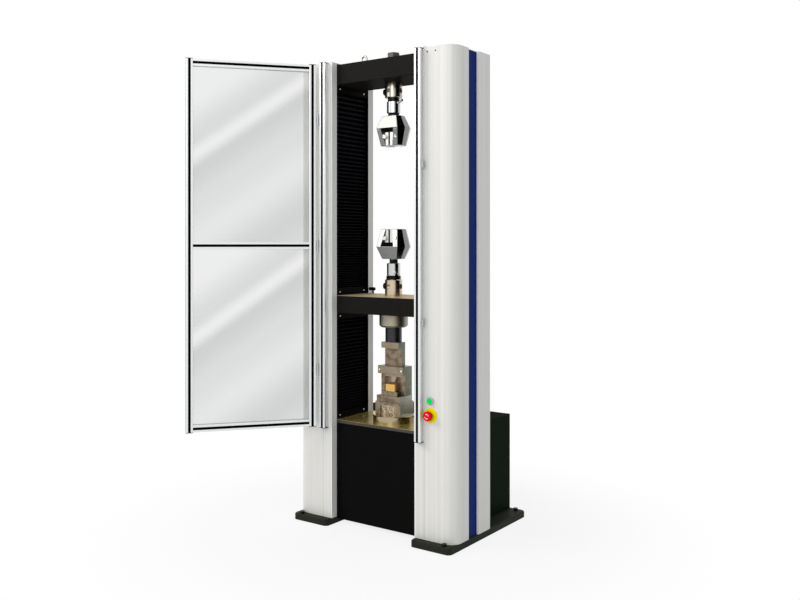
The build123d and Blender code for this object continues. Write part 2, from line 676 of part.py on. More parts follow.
def crosshead():
    """The moving beam with its ball nuts, guide bushes and the trip for the travel limits."""
    z = (CROSSHEAD_BOTTOM, CROSSHEAD_TOP)
    moving = beam(CROSSHEAD_REAR_Y, z, END_REAR_Y)
    nuts = []
    bushes = []
    for x in (-SCREW_X, SCREW_X):
        moving -= post(x, 0, z, NUT_R + SEAT)
        nut = post(x, 0, z, NUT_R)
        nut += post(x, 0, (z[0] - NUT_FLANGE_HEIGHT, z[0]), NUT_FLANGE_R)
        nuts.append(nut - post(x, 0, (z[0] - NUT_FLANGE_HEIGHT, z[1]), SCREW_R + RUNNING))
    bush_z = (z[0] - BUSH_PROUD, z[1] + BUSH_PROUD)
    for x, y in guide_places():
        moving -= post(x, y, z, BUSH_R + SEAT)
        bushes.append(post(x, y, bush_z, BUSH_R) - post(x, y, bush_z, GUIDE_R + RUNNING))
    save("crosshead_beam", moving)
    save("ball_nuts", *nuts)
    save("guide_bushes", *bushes)
    trip_x = (-INNER_X + TRIP_GAP, -INNER_X + TRIP_GAP + TRIP_LENGTH)
    trip_y = CROSSHEAD_REAR_Y - TRIP_INSET
    trip_z = CROSSHEAD_TOP + TRIP_RISE
    trip = along_x(trip_x, trip_y, trip_z, TRIP_R)
    trip = chamfer(trip.edges().filter_by(GeomType.CIRCLE), TRIP_BEVEL)
    trip += post(trip_x[1] - TRIP_STALK_INSET, trip_y, (CROSSHEAD_TOP, trip_z), TRIP_STALK_R)
    save("limit_trip", trip)


def socket(height, nose_height, nose_r):
    """A grip socket standing on its base at z=0: body, narrower nose, shank bore, cross hole, side hole."""
    body = post(0, 0, (0, height), SOCKET_R)
    body = chamfer(body.edges().group_by(Axis.Z)[-1], SOCKET_BEVEL)
    body += post(0, 0, (height, height + nose_height), nose_r)
    mouth = height + nose_height
    pin_z = height - PIN_FROM_MOUTH
    body -= post(0, 0, (pin_z - PIN_R - SHANK_END - LOOSE, mouth), SHANK_R + LOOSE)
    body -= along_x((-SOCKET_R, SOCKET_R), 0, pin_z, PIN_R + SEAT)
    body -= along_y(0, (-SOCKET_R, SIDE_HOLE_DEPTH - SOCKET_R), pin_z, SIDE_HOLE_R)
    return body


def cross_pin(height):
    """The pin through socket and shank, with its head on the left."""
    pin_z = height - PIN_FROM_MOUTH
    pin = along_x((-SOCKET_R, SOCKET_R), 0, pin_z, PIN_R)
    return pin + along_x((-SOCKET_R - PIN_HEAD, -SOCKET_R), 0, pin_z, PIN_HEAD_R)


def sleeve(height, barred):
    """The turning sleeve of a grip, from z=0 up: its hole near the nose is empty or holds a tilted bar."""
    ring = post(0, 0, (LOOSE, height - LOOSE), SLEEVE_R)
    ring = chamfer(ring.edges().filter_by(GeomType.CIRCLE), SLEEVE_BEVEL)
    bar = Pos(0, 0, BAR_LENGTH / 2) * Cylinder(BAR_R, BAR_LENGTH)
    side = Pos(0, 0, BAR_FROM_NOSE) * Rot(0, 0, BAR_TURN) * Pos(SLEEVE_R - BAR_R, 0, 0)
    if barred:
        ring += side * Rot(0, 90 + BAR_TILT, 0) * bar
    else:
        ring -= side * Rot(0, 90, 0) * bar
    return ring - post(0, 0, (0, height), SHANK_R + RUNNING)


def octagon(width, depth, corner, z):
    """A rectangle with long corner cuts, at one height."""
    dx = width / 2
    dy = depth / 2
    cut_y = corner * GRIP_CHAMFER_RATIO
    corners = [
        (dx - corner, -dy),
        (dx, cut_y - dy),
        (dx, dy - cut_y),
        (dx - corner, dy),
        (corner - dx, dy),
        (-dx, dy - cut_y),
        (-dx, cut_y - dy),
        (corner - dx, -dy),
    ]
    return Pos(0, 0, z) * make_face(Polyline(*corners, close=True))


def wedge_x(z):
    """Half the width of the wedge cavity at a height above the grip's mouth."""
    return WEDGE_MOUTH + z * math.tan(math.radians(WEDGE_ANGLE))


def drawn_across(points, depth):
    """An outline in X and Z carried equally to both sides of the load axis along Y."""
    side = make_face(Plane.XZ * Polyline(*points, close=True))
    return extrude(side, depth / 2, both=True)


def grip_body(neck_height, neck_r, shank_top):
    """A wedge grip with its mouth at z=0: two octagon tapers with broken edges, a wedge slot, neck and shank."""
    tall = GRIP_MOUTH_HEIGHT + GRIP_SHANK_HEIGHT
    sections = [
        octagon(GRIP_MOUTH_WIDTH, GRIP_MOUTH_DEPTH, GRIP_END_CHAMFER, 0),
        octagon(GRIP_WIDTH, GRIP_DEPTH, GRIP_CHAMFER, GRIP_MOUTH_HEIGHT),
        octagon(GRIP_SHANK_WIDTH, GRIP_SHANK_DEPTH, GRIP_END_CHAMFER, tall),
    ]
    body = loft(sections[:2], ruled=True) + loft(sections[1:], ruled=True)
    body = chamfer(body.edges(), GRIP_EDGE)
    roof = GRIP_MOUTH_HEIGHT - WEDGE_ROOF
    cavity = [(-wedge_x(0), 0), (wedge_x(0), 0), (wedge_x(roof), roof), (-wedge_x(roof), roof)]
    body -= drawn_across(cavity, GRIP_DEPTH)
    body += post(0, 0, (tall, tall + neck_height), neck_r)
    body += post(0, 0, (tall, shank_top), SHANK_R)
    return body


def jaw():
    """The right-hand jaw of a grip with its mouth at z=0: upright gripping face, sloping back."""
    play = JAW_PLAY / math.cos(math.radians(WEDGE_ANGLE))
    low = JAW_SET_IN
    high = JAW_SET_IN + JAW_HEIGHT
    outline = [
        (JAW_GAP / 2, low),
        (wedge_x(low) - play, low),
        (wedge_x(high) - play, high),
        (JAW_GAP / 2, high),
    ]
    return drawn_across(outline, JAW_DEPTH)


def load_string(name, socket_z, up, heights, nose_r, neck_r):
    """One grip set from its beam outwards. up is 1 standing on the crosshead, -1 hanging from the top beam."""
    socket_height, nose_height, sleeve_height, neck_height = heights
    sleeve_low = socket_height + nose_height
    grip_low = sleeve_low + sleeve_height + neck_height
    tall = GRIP_MOUTH_HEIGHT + GRIP_SHANK_HEIGHT
    pin_z = socket_height - PIN_FROM_MOUTH
    shank_top = tall + grip_low - (pin_z - PIN_R - SHANK_END)

    def placed(shape):
        turned = shape if up > 0 else mirror(shape, about=Plane.XY)
        return Pos(0, 0, socket_z) * turned

    def from_mouth(shape):
        return placed(Pos(0, 0, grip_low + tall) * mirror(shape, about=Plane.XY))

    pin = cross_pin(socket_height)
    body = from_mouth(grip_body(neck_height, neck_r, shank_top))
    body -= placed(along_x((-SOCKET_R, SOCKET_R), 0, pin_z, PIN_R + SEAT))
    save(f"{name}_socket", placed(socket(socket_height, nose_height, nose_r)))
    save(f"{name}_cross_pin", placed(pin))
    save(f"{name}_sleeve", placed(Pos(0, 0, sleeve_low) * sleeve(sleeve_height, up < 0)))
    save(f"{name}_grip_body", body)
    right_jaw = from_mouth(jaw())
    save(f"{name}_jaw_right", right_jaw)
    save(f"{name}_jaw_left", mirror(right_jaw, about=Plane.YZ))


def load_strings():
    """Upper set under the top beam and lower set on the crosshead."""
    upper = (UPPER_SOCKET_HEIGHT, UPPER_NOSE_HEIGHT, UPPER_SLEEVE_HEIGHT, UPPER_NECK_HEIGHT)
    lower = (LOWER_SOCKET_HEIGHT, LOWER_NOSE_HEIGHT, LOWER_SLEEVE_HEIGHT, LOWER_NECK_HEIGHT)
    load_string("upper", TOP_BEAM_BOTTOM, -1, upper, UPPER_NOSE_R, UPPER_NECK_R)
    load_string("lower", CROSSHEAD_TOP, 1, lower, LOWER_NOSE_R, SHANK_R)


def press_tools():
    """Load cell, adapter and ram under the crosshead."""
    cell = post(0, 0, (CELL_BOTTOM, CROSSHEAD_BOTTOM), LOAD_CELL_R)
    cell = chamfer(cell.edges().group_by(Axis.Z)[0], LOAD_CELL_BEVEL)
    save("load_cell", cell)
    save("press_adapter", post(0, 0, (ADAPTER_BOTTOM, CELL_BOTTOM), ADAPTER_R))
    half = RAM_WIDTH / 2
    ram = block((-half, half), (RAM_HEAD_FRONT, RAM_BACK), (RAM_HEAD_BOTTOM, ADAPTER_BOTTOM))
    ram += block((-half, half), (RAM_BACK - RAM_THICKNESS, RAM_BACK), (RAM_BOTTOM, RAM_HEAD_BOTTOM))
    nose_bottom = SEAT_TOP + SPECIMEN_HEIGHT + BOARD_OFFSET + NOSE_GAP
    nose = [
        (-NOSE_WIDTH / 2, RAM_BOTTOM),
        (-NOSE_TIP / 2, nose_bottom),
        (NOSE_TIP / 2, nose_bottom),
        (NOSE_WIDTH / 2, RAM_BOTTOM),
    ]
    nose_depth = RAM_BACK - NOSE_FRONT
    ram += Pos(0, RAM_BACK - nose_depth / 2, 0) * drawn_across(nose, nose_depth)
    save("press_ram", ram)


def top_eased(shape):
    """A fixture block with the edges of its top face broken."""
    return chamfer(shape.faces().sort_by(Axis.Z)[-1].edges(), FIXTURE_EDGE)


def press_fixture():
    """Round plate, stepped base, guide frame with its crossbar, and the glued two-board specimen."""
    disc = post(0, 0, (TABLE_TOP, DISC_TOP), DISC_R)
    disc = chamfer(disc.edges().group_by(Axis.Z)[-1], DISC_BEVEL)
    save("fixture_disc", disc)
    half = BASE_WIDTH / 2
    step_z = DISC_TOP + BASE_HEIGHT
    base = top_eased(block((-half, half), (BASE_FRONT, BASE_BACK), (DISC_TOP, step_z)))
    recess_half = BASE_RECESS_WIDTH / 2
    recess_y = (BASE_FRONT, BASE_FRONT + BASE_RECESS_DEPTH)
    base -= block((-recess_half, recess_half), recess_y, (DISC_TOP, DISC_TOP + BASE_RECESS_HEIGHT))
    step_half = half - BASE_STEP_INSET
    step_y = (BASE_FRONT + BASE_STEP_INSET, BASE_BACK - BASE_STEP_INSET)
    base += top_eased(block((-step_half, step_half), step_y, (step_z, BASE_TOP)))
    seat_half = SEAT_WIDTH / 2
    base += top_eased(block((-seat_half, seat_half), (SEAT_FRONT, SEAT_BACK), (BASE_TOP, SEAT_TOP)))
    save("fixture_base", base)
    frame_half = FRAME_WIDTH / 2
    frame = block((-frame_half, frame_half), (FRAME_FRONT, FRAME_BACK), (BASE_TOP, FRAME_TOP))
    guide_half = RAM_WIDTH / 2 + LOOSE
    guide_y = (FRAME_FRONT, max(RAM_BACK, SEAT_BACK) + LOOSE)
    frame -= block((-guide_half, guide_half), guide_y, (BASE_TOP, FRAME_TOP))
    bar_half = CROSSBAR_WIDTH / 2
    bar_z = (FRAME_TOP - CROSSBAR_HEIGHT, FRAME_TOP)
    crossbar = block((-bar_half, bar_half), (CROSSBAR_FRONT, FRAME_FRONT), bar_z)
    crossbar = chamfer(crossbar.faces().sort_by(Axis.Y)[0].edges(), FIXTURE_EDGE)
    save("fixture_frame", frame, crossbar)
    wood_half = SPECIMEN_WIDTH / 2
    glue_y = SPECIMEN_FRONT + FRONT_BOARD
    wood_x = (-wood_half, wood_half)
    front_z = (SEAT_TOP, SEAT_TOP + SPECIMEN_HEIGHT)
    rear_z = (SEAT_TOP + BOARD_OFFSET, SEAT_TOP + BOARD_OFFSET + SPECIMEN_HEIGHT)
    front_board = block(wood_x, (SPECIMEN_FRONT, glue_y), front_z)
    rear_board = block(wood_x, (glue_y, glue_y + REAR_BOARD), rear_z)
    save("wood_specimen", front_board, rear_board)


def profile(length):
    """A slotted aluminium extrusion of the given length, standing on z=0 and centred on Z."""
    half = PROFILE / 2
    shoulder = half - SLOT_LIP - SLOT_SHOULDER
    right_side = [
        (SLOT_MOUTH / 2, half + SLOT_LIP),
        (SLOT_MOUTH / 2, half - SLOT_LIP),
        (SLOT_CAVITY / 2, half - SLOT_LIP),
        (SLOT_CAVITY / 2, shoulder),
        (SLOT_FLOOR / 2, half - SLOT_DEPTH),
    ]
    left_side = [(-x, y) for x, y in reversed(right_side)]
    slot = make_face(Polyline(*right_side, *left_side, close=True))
    section = RectangleRounded(PROFILE, PROFILE, PROFILE_CORNER_R)
    for side in range(4):
        section -= Rot(0, 0, 90 * side) * slot
    return extrude(section - Circle(CORE_R), length)


def swung(shape):
    """Turns a piece of the closed door about the hinge axis to where the door stands open."""
    return Pos(HINGE_X, HINGE_Y, 0) * Rot(0, 0, -DOOR_OPEN) * Pos(-HINGE_X, -HINGE_Y, 0) * shape


def hinge_leaf(z, side, knuckles):
    """A hinge leaf: plate, webs and knuckles. side is 1 towards the column, -1 towards the door."""
    plate_x = (DOOR_LEFT_X - LEAF_THICKNESS, DOOR_LEFT_X)
    plate_y = sorted((HINGE_Y + side * LEAF_START, HINGE_Y + side * LEAF_END))
    leaf = block(plate_x, plate_y, (z - HINGE_LENGTH / 2, z + HINGE_LENGTH / 2))
    web_y = sorted((HINGE_Y, HINGE_Y + side * WEB_REACH))
    for low, high in knuckles:
        leaf += post(HINGE_X, HINGE_Y, (z + low, z + high), KNUCKLE_R)
        leaf += block((HINGE_X, DOOR_LEFT_X), web_y, (z + low, z + high))
    return leaf


def door():
    """Posts on the column fronts, the hinged door of two stiles, three rails and two panes, hinges, catches."""
    post_y = FRONT_Y - PROFILE / 2
    upright = Pos(POST_X, post_y, POST_BOTTOM) * profile(POST_TOP - POST_BOTTOM)
    save("door_posts", *pair(upright))

    frame = []
    middle_y = DOOR_BACK_Y - PROFILE / 2
    for x in (DOOR_LEFT_X + PROFILE / 2, DOOR_LEFT_X + DOOR_WIDTH - PROFILE / 2):
        frame.append(Pos(x, middle_y, DOOR_BOTTOM) * profile(DOOR_TOP - DOOR_BOTTOM))
    rail_x = (DOOR_LEFT_X + PROFILE, DOOR_LEFT_X + DOOR_WIDTH - PROFILE)
    rail_zs = (DOOR_BOTTOM + PROFILE / 2, DOOR_RAIL_Z, DOOR_TOP - PROFILE / 2)
    for z in rail_zs:
        rail = Pos(rail_x[0], middle_y, z) * Rot(0, 90, 0) * profile(rail_x[1] - rail_x[0])
        frame.append(rail)
    save("door_frame", *[swung(piece) for piece in frame])

    panes = []
    bite = SLOT_DEPTH - LOOSE
    pane_x = (rail_x[0] - bite, rail_x[1] + bite)
    pane_y = (middle_y - PANE_THICKNESS / 2, middle_y + PANE_THICKNESS / 2)
    for low, high in zip(rail_zs, rail_zs[1:]):
        pane_z = (low + PROFILE / 2 - bite, high - PROFILE / 2 + bite)
        panes.append(swung(block(pane_x, pane_y, pane_z)))
    save("door_panes", *panes)

    post_leaves = []
    door_leaves = []
    outer = HINGE_LENGTH / 2
    inner = KNUCKLE_LENGTH / 2
    for z in HINGE_HEIGHTS:
        leaf = hinge_leaf(z, 1, [(-inner, inner)])
        post_leaves.append(leaf + post(HINGE_X, HINGE_Y, (z - outer, z + outer), HINGE_PIN_R))
        ends = [(-outer, LOOSE - outer + KNUCKLE_LENGTH), (outer - KNUCKLE_LENGTH - LOOSE, outer)]
        leaf = hinge_leaf(z, -1, ends)
        leaf -= post(HINGE_X, HINGE_Y, (z - outer, z + outer), HINGE_PIN_R + RUNNING)
        door_leaves.append(swung(leaf))
    save("post_hinges", *post_leaves)
    save("door_hinges", *door_leaves)

    width, depth, height = CATCH_SIZE
    catches = []
    for z in CATCH_HEIGHTS:
        x = POST_X + PROFILE / 2 + width / 2
        catch = Pos(x, post_y, z) * Box(width, depth, height)
        catches.append(chamfer(catch.faces().sort_by(Axis.X)[-1].edges(), CATCH_BEVEL))
    save("door_catches", *catches)


def switches():
    """Push button in its bezel, and the emergency stop: plate, collar, sliding stem and turning head."""
    back_y = FRONT_Y + BARREL_LENGTH
    bezel = along_y(SWITCH_X, (FRONT_Y - BEZEL_PROUD, FRONT_Y), POWER_Z, BEZEL_R)
    bezel = chamfer(bezel.edges().group_by(Axis.Y)[0], BEZEL_BEVEL)
    bezel += along_y(SWITCH_X, (FRONT_Y, back_y), POWER_Z, BARREL_R)
    button_y = (FRONT_Y - BUTTON_PROUD, FRONT_Y - BUTTON_PROUD + BUTTON_LENGTH)
    bore_y = (FRONT_Y - BEZEL_PROUD, button_y[1] + BUTTON_TRAVEL + LOOSE)
    bezel -= along_y(SWITCH_X, bore_y, POWER_Z, BUTTON_R + RUNNING)
    button = along_y(SWITCH_X, button_y, POWER_Z, BUTTON_R)
    button = fillet(button.edges().group_by(Axis.Y)[0], BUTTON_DOME)
    stem_y = (button_y[1], button_y[1] + BUTTON_STEM)
    bezel -= along_y(SWITCH_X, (stem_y[0], stem_y[1] + BUTTON_TRAVEL + LOOSE), POWER_Z, BUTTON_STEM_R + RUNNING)
    button += along_y(SWITCH_X, stem_y, POWER_Z, BUTTON_STEM_R)
    save("power_button", button)

    plate = along_y(SWITCH_X, (FRONT_Y - STOP_PLATE, FRONT_Y), STOP_Z, STOP_PLATE_R)
    plate = chamfer(plate.edges().group_by(Axis.Y)[0], STOP_PLATE_BEVEL)
    save("stop_plate", plate - along_y(SWITCH_X, (FRONT_Y - STOP_PLATE, FRONT_Y), STOP_Z, BARREL_R + LOOSE))
    collar_front = FRONT_Y - STOP_PLATE - COLLAR_PROUD
    collar = along_y(SWITCH_X, (collar_front, FRONT_Y - STOP_PLATE), STOP_Z, COLLAR_R)
    collar += along_y(SWITCH_X, (FRONT_Y - STOP_PLATE, back_y), STOP_Z, BARREL_R)
    collar -= along_y(SWITCH_X, (collar_front, back_y), STOP_Z, STEM_R + RUNNING)
    save("switch_barrels", bezel, collar)
    head_back = collar_front - STOP_TRAVEL - LOOSE
    head_front = head_back - STOP_HEAD_LENGTH
    stem_front = (head_front + head_back) / 2
    stem = along_y(SWITCH_X, (stem_front, collar_front + STEM_IN), STOP_Z, STEM_R)
    save("stop_stem", stem)
    head = along_y(SWITCH_X, (head_front, head_back), STOP_Z, STOP_HEAD_R)
    head = fillet(head.edges().group_by(Axis.Y)[0], STOP_DOME)
    save("stop_head", head - along_y(SWITCH_X, (stem_front - LOOSE, head_back), STOP_Z, STEM_R + RUNNING))


def main():
    os.makedirs("parts", exist_ok=True)
    feet()
    base_frame()
    worktable()
    rear_cabinet()
    casings()
    top_beam()
    guides_and_bearings()
    screws()
    drive()
    covers()
    crosshead()
    load_strings()
    press_tools()
    press_fixture()
    door()
    switches()


main()
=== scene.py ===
import json
import math

import bmesh
import bpy
import numpy as np
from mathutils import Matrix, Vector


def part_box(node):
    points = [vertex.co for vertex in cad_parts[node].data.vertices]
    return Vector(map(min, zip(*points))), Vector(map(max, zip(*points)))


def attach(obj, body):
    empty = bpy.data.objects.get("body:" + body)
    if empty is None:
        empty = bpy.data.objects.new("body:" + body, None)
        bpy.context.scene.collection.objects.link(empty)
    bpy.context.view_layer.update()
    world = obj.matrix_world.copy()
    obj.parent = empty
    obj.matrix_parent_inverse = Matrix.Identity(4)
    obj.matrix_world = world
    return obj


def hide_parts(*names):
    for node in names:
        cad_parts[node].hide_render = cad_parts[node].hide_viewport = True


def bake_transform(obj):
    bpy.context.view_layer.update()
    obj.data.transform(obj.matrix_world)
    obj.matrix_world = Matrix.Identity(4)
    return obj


bl_info = {
    "name": "Testing Machine",
    "version": (1, 0, 0),
    "blender": (4, 5, 0),
    "location": "View3D > Sidebar > Testing Machine",
    "description": "Finishes and fine parts of a floor-standing universal testing machine",
    "category": "Add Mesh",
}

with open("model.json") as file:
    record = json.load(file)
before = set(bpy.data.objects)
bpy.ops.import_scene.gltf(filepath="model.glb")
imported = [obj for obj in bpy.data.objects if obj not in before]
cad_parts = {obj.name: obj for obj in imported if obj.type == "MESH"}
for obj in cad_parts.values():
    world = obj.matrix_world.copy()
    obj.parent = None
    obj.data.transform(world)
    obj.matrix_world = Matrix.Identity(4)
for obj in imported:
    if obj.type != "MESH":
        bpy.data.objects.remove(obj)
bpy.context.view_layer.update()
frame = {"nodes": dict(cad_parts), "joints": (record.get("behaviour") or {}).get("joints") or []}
NODES = frame["nodes"]
JOINTS = {joint["name"]: joint for joint in frame["joints"]}
DOOR_OPEN = math.radians(JOINTS["door_swing"]["range_deg"][1])
MM = 0.001
X, Y, Z = np.eye(3)
REAR_LIP = 37 * MM
SLOT_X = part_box("crosshead_beam")[1].x - 172 * MM
GRIP_MOUTH = 35 * MM
GRIP_SLOPE = 17.5 / 78
WHITE = (1, 1, 1, 1)
# Black painted as shade in the grip pockets and between the jaws.
SHADE_BLACK = (0.008, 0.008, 0.008, 1)
TURNED = (2, 2, 1400)
GROUND_X = (6, 1100, 1100)
MILLED = (420, 60, 420)


def linear(*shown):
    """Scene-linear colour of a shown colour given from 0 to 255."""
    part = np.array(shown) / 255
    return tuple(np.where(part <= 0.04045, part / 12.92, ((part + 0.055) / 1.055) ** 2.4))


def opaque(*shown):
    """The same with full alpha, for a colour socket."""
    return (*linear(*shown), 1)


def shaded(colour, amount):
    """A colour times a plain amount, with full alpha."""
    return (*[min(1.0, part * amount) for part in colour[:3]], 1)


def tint(name, description, *shown):
    """A colour property from a shown colour."""
    return bpy.props.FloatVectorProperty(
        name=name, description=description, subtype="COLOR", size=3, min=0, max=1, default=linear(*shown)
    )


def length(name, description, millimetres):
    """A length property from millimetres."""
    return bpy.props.FloatProperty(
        name=name, description=description, default=millimetres * MM, min=0, precision=4,
        unit="LENGTH", subtype="DISTANCE",
    )


def count(name, description, number):
    """A whole-number property."""
    return bpy.props.IntProperty(name=name, description=description, default=number, min=1)


def number(name, description, value):
    """A plain number property."""
    return bpy.props.FloatProperty(name=name, description=description, default=value)


class FinishSettings(bpy.types.PropertyGroup):
    """Colours of the finishes."""

    casing: tint("Casing", "Powder coat of the column casings", 236, 236, 233)
    trim: tint("Trim", "Paint of the recessed column strips", 18, 40, 112)
    beam: tint("Beam", "Paint of the top beam and crosshead", 30, 29, 27)
    panel: tint("Panel", "Paint of the front panel and flanges", 13, 13, 13)
    cabinet: tint("Cabinet", "Paint of the rear cabinet", 26, 37, 26)
    foot: tint("Foot", "Textured paint of the feet", 37, 40, 32)
    table: tint("Table", "Ground and oiled steel of the worktable", 194, 171, 98)
    bare: tint("Bare top", "Ground top of the crosshead", 208, 188, 152)
    nickel: tint("Nickel", "Plating of the lower grip socket", 204, 189, 168)
    bright_nickel: tint("Bright nickel", "Plating of the upper grip socket", 178, 172, 157)
    cell: tint("Load cell", "Plating of the load cell", 168, 162, 146)
    chrome: tint("Chrome", "Plating of the wedge grips", 133, 136, 133)
    sleeve: tint("Sleeve", "Plating of the turning sleeves", 204, 207, 205)
    bezel: tint("Bezel", "Plating of the push button's bezel", 194, 195, 193)
    steel: tint("Steel", "Plain machined steel", 178, 176, 170)
    jaw: tint("Jaw", "Ground steel of the wedge jaws", 224, 223, 219)
    screw: tint("Screw", "Bright screw heads", 232, 231, 226)
    disc: tint("Disc", "Polished steel of the fixture disc", 174, 161, 132)
    tool: tint("Tool steel", "Milled steel of the press fixture", 146, 133, 114)
    iron: tint("Dark steel", "Draw nut", 68, 70, 68)
    oxide: tint("Oxide", "Black oxide of pins and adapter", 34, 34, 37)
    bronze: tint("Bronze", "Guide bushes", 196, 160, 100)
    aluminium: tint("Aluminium", "Anodised door and post extrusions", 236, 238, 239)
    hinge: tint("Hinge", "Cast hinges and catches", 186, 188, 189)
    pane: tint("Pane", "Clear door panes", 150, 153, 156)
    rubber: tint("Rubber", "Bellows and belts", 12, 13, 17)
    plastic: tint("Plastic", "Black moulded plastic", 18, 18, 19)
    green: tint("Green", "Push button", 0, 226, 100)
    red: tint("Red", "Stop head", 226, 6, 26)
    yellow: tint("Yellow", "Stop plate", 255, 236, 8)
    wood: tint("Wood", "Front board of the specimen", 255, 196, 106)


class PieceSettings(bpy.types.PropertyGroup):
    """Sizes of the fine parts."""

    upper_pleats: count("Upper pleats", "Folds of a bellows above the crosshead", 62)
    upper_sag: number("Upper sag", "Width of its top fold over its bottom fold", 2.6)
    lower_pleats: count("Lower pleats", "Folds of a bellows below the crosshead", 31)
    lower_sag: number("Lower sag", "Width of its top fold over its bottom fold", 1.7)
    pleat_depth: length("Pleat depth", "Depth of a bellows fold", 20)
    skin: length("Skin", "Thickness of the bellows skin", 1.5)
    screw_head: length("Screw head", "Radius of a flange screw head", 3.4)
    strip_width: length("Strip width", "Width of a slot cover strip", 11.2)
    cap: length("End cap", "Thickness of an extrusion end cap", 2.5)
    rail_height: length("Rail height", "Height of the middle door rail", 1216)
    knob: length("Knob", "Radius of the jaw knob", 10)
    hood_depth: length("Hood depth", "How far a louvre hood stands out", 7)


class StageSettings(bpy.types.PropertyGroup):
    """Camera and light."""

    eye: bpy.props.FloatVectorProperty(
        name="Eye", description="Place of the camera", size=3, default=(2.27678, -3.17764, 1.21956),
        unit="LENGTH", subtype="TRANSLATION",
    )
    azimuth: bpy.props.FloatProperty(
        name="Azimuth", description="Turn of the camera from straight ahead", default=math.radians(36.15),
        unit="ROTATION", subtype="ANGLE",
    )
    lens: number("Lens", "Focal length in millimetres", 40.34)
    shift_x: number("Shift X", "Sideways shift of the picture", 0.0183)
    shift_y: number("Shift Y", "Upward shift of the picture", -0.069)
    ambient: number("Ambient", "Light from all round", 0.51)
    key: number("Key", "Watts of the front lamp", 60)
    side: number("Side", "Watts of the high left lamp", 132)


class MachineSettings(bpy.types.PropertyGroup):
    """All settings of the machine."""

    finish: bpy.props.PointerProperty(name="Finishes", description="Colours", type=FinishSettings)
    piece: bpy.props.PointerProperty(name="Pieces", description="Sizes of fine parts", type=PieceSettings)
    stage: bpy.props.PointerProperty(name="Stage", description="Camera and light", type=StageSettings)


class Value:
    """An output of a node. Arithmetic on it adds Math nodes to its tree."""

    def __init__(self, nodes, socket):
        self.nodes = nodes
        self.socket = socket

    def maths(self, operation, *values):
        return self.nodes.node("ShaderNodeMath", {"operation": operation}, dict(enumerate(values)))

    def __add__(self, other):
        return self.maths("ADD", self, other)

    def __mul__(self, other):
        return self.maths("MULTIPLY", self, other)

    __radd__ = __add__
    __rmul__ = __mul__

    def __sub__(self, other):
        return self.maths("SUBTRACT", self, other)

    def __rsub__(self, other):
        return self.maths("SUBTRACT", other, self)

    def __truediv__(self, other):
        return self.maths("DIVIDE", self, other)

    def __abs__(self):
        return self.maths("ABSOLUTE", self)

    def fraction(self):
        return self.maths("FRACT", self)

    def larger(self, other):
        return self.maths("MAXIMUM", self, other)

    def rise(self, low, high):
        """0 below low, 1 above high, smooth between them."""
        limits = {"Value": self, "From Min": low, "From Max": high}
        return self.nodes.node("ShaderNodeMapRange", {"interpolation_type": "SMOOTHSTEP"}, limits)

    def fall(self, low, high):
        """1 below low, 0 above high."""
        return 1 - self.rise(low, high)

    def between(self, low, high, edge):
        """1 from low to high and 0 outside, with soft edges."""
        return self.rise(low - edge, low) * self.fall(high, high + edge)

    def ramp(self, *stops):
        """A value that passes smoothly through (place, value) stops."""
        return self.nodes.node("ShaderNodeValToRGB", {"stops": stops}, {0: self})


class Nodes:
    """A node tree and the one way to add to it."""

    def __init__(self, tree):
        self.tree = tree

    def node(self, kind, settings=None, inputs=None, output=0):
        """Adds a node: its settings first, with a ramp's stops, then the values or links of its sockets."""
        made = self.tree.nodes.new(kind)
        for name, value in (settings or {}).items():
            if name == "stops":
                self.set_stops(made.color_ramp, value)
            else:
                setattr(made, name, value)
        for socket, value in (inputs or {}).items():
            if isinstance(value, Value):
                self.tree.links.new(value.socket, made.inputs[socket])
            else:
                made.inputs[socket].default_value = value
        return Value(self, made.outputs[output])

    def set_stops(self, ramp, stops):
        """Fills a ramp with grey stops, eased between them."""
        ramp.interpolation = "EASE"
        while len(ramp.elements) < len(stops):
            ramp.elements.new(0.5)
        for element, (place, value) in zip(ramp.elements, stops):
            element.position = place
            element.color = (value, value, value, 1)

    def seen(self):
        """1 for rays that show the background: from the camera, a mirror or a clear pane."""
        kinds = ("Is Camera Ray", "Is Glossy Ray", "Is Transmission Ray")
        camera, mirror, clear = (self.node("ShaderNodeLightPath", output=kind) for kind in kinds)
        return camera.larger(mirror).larger(clear)


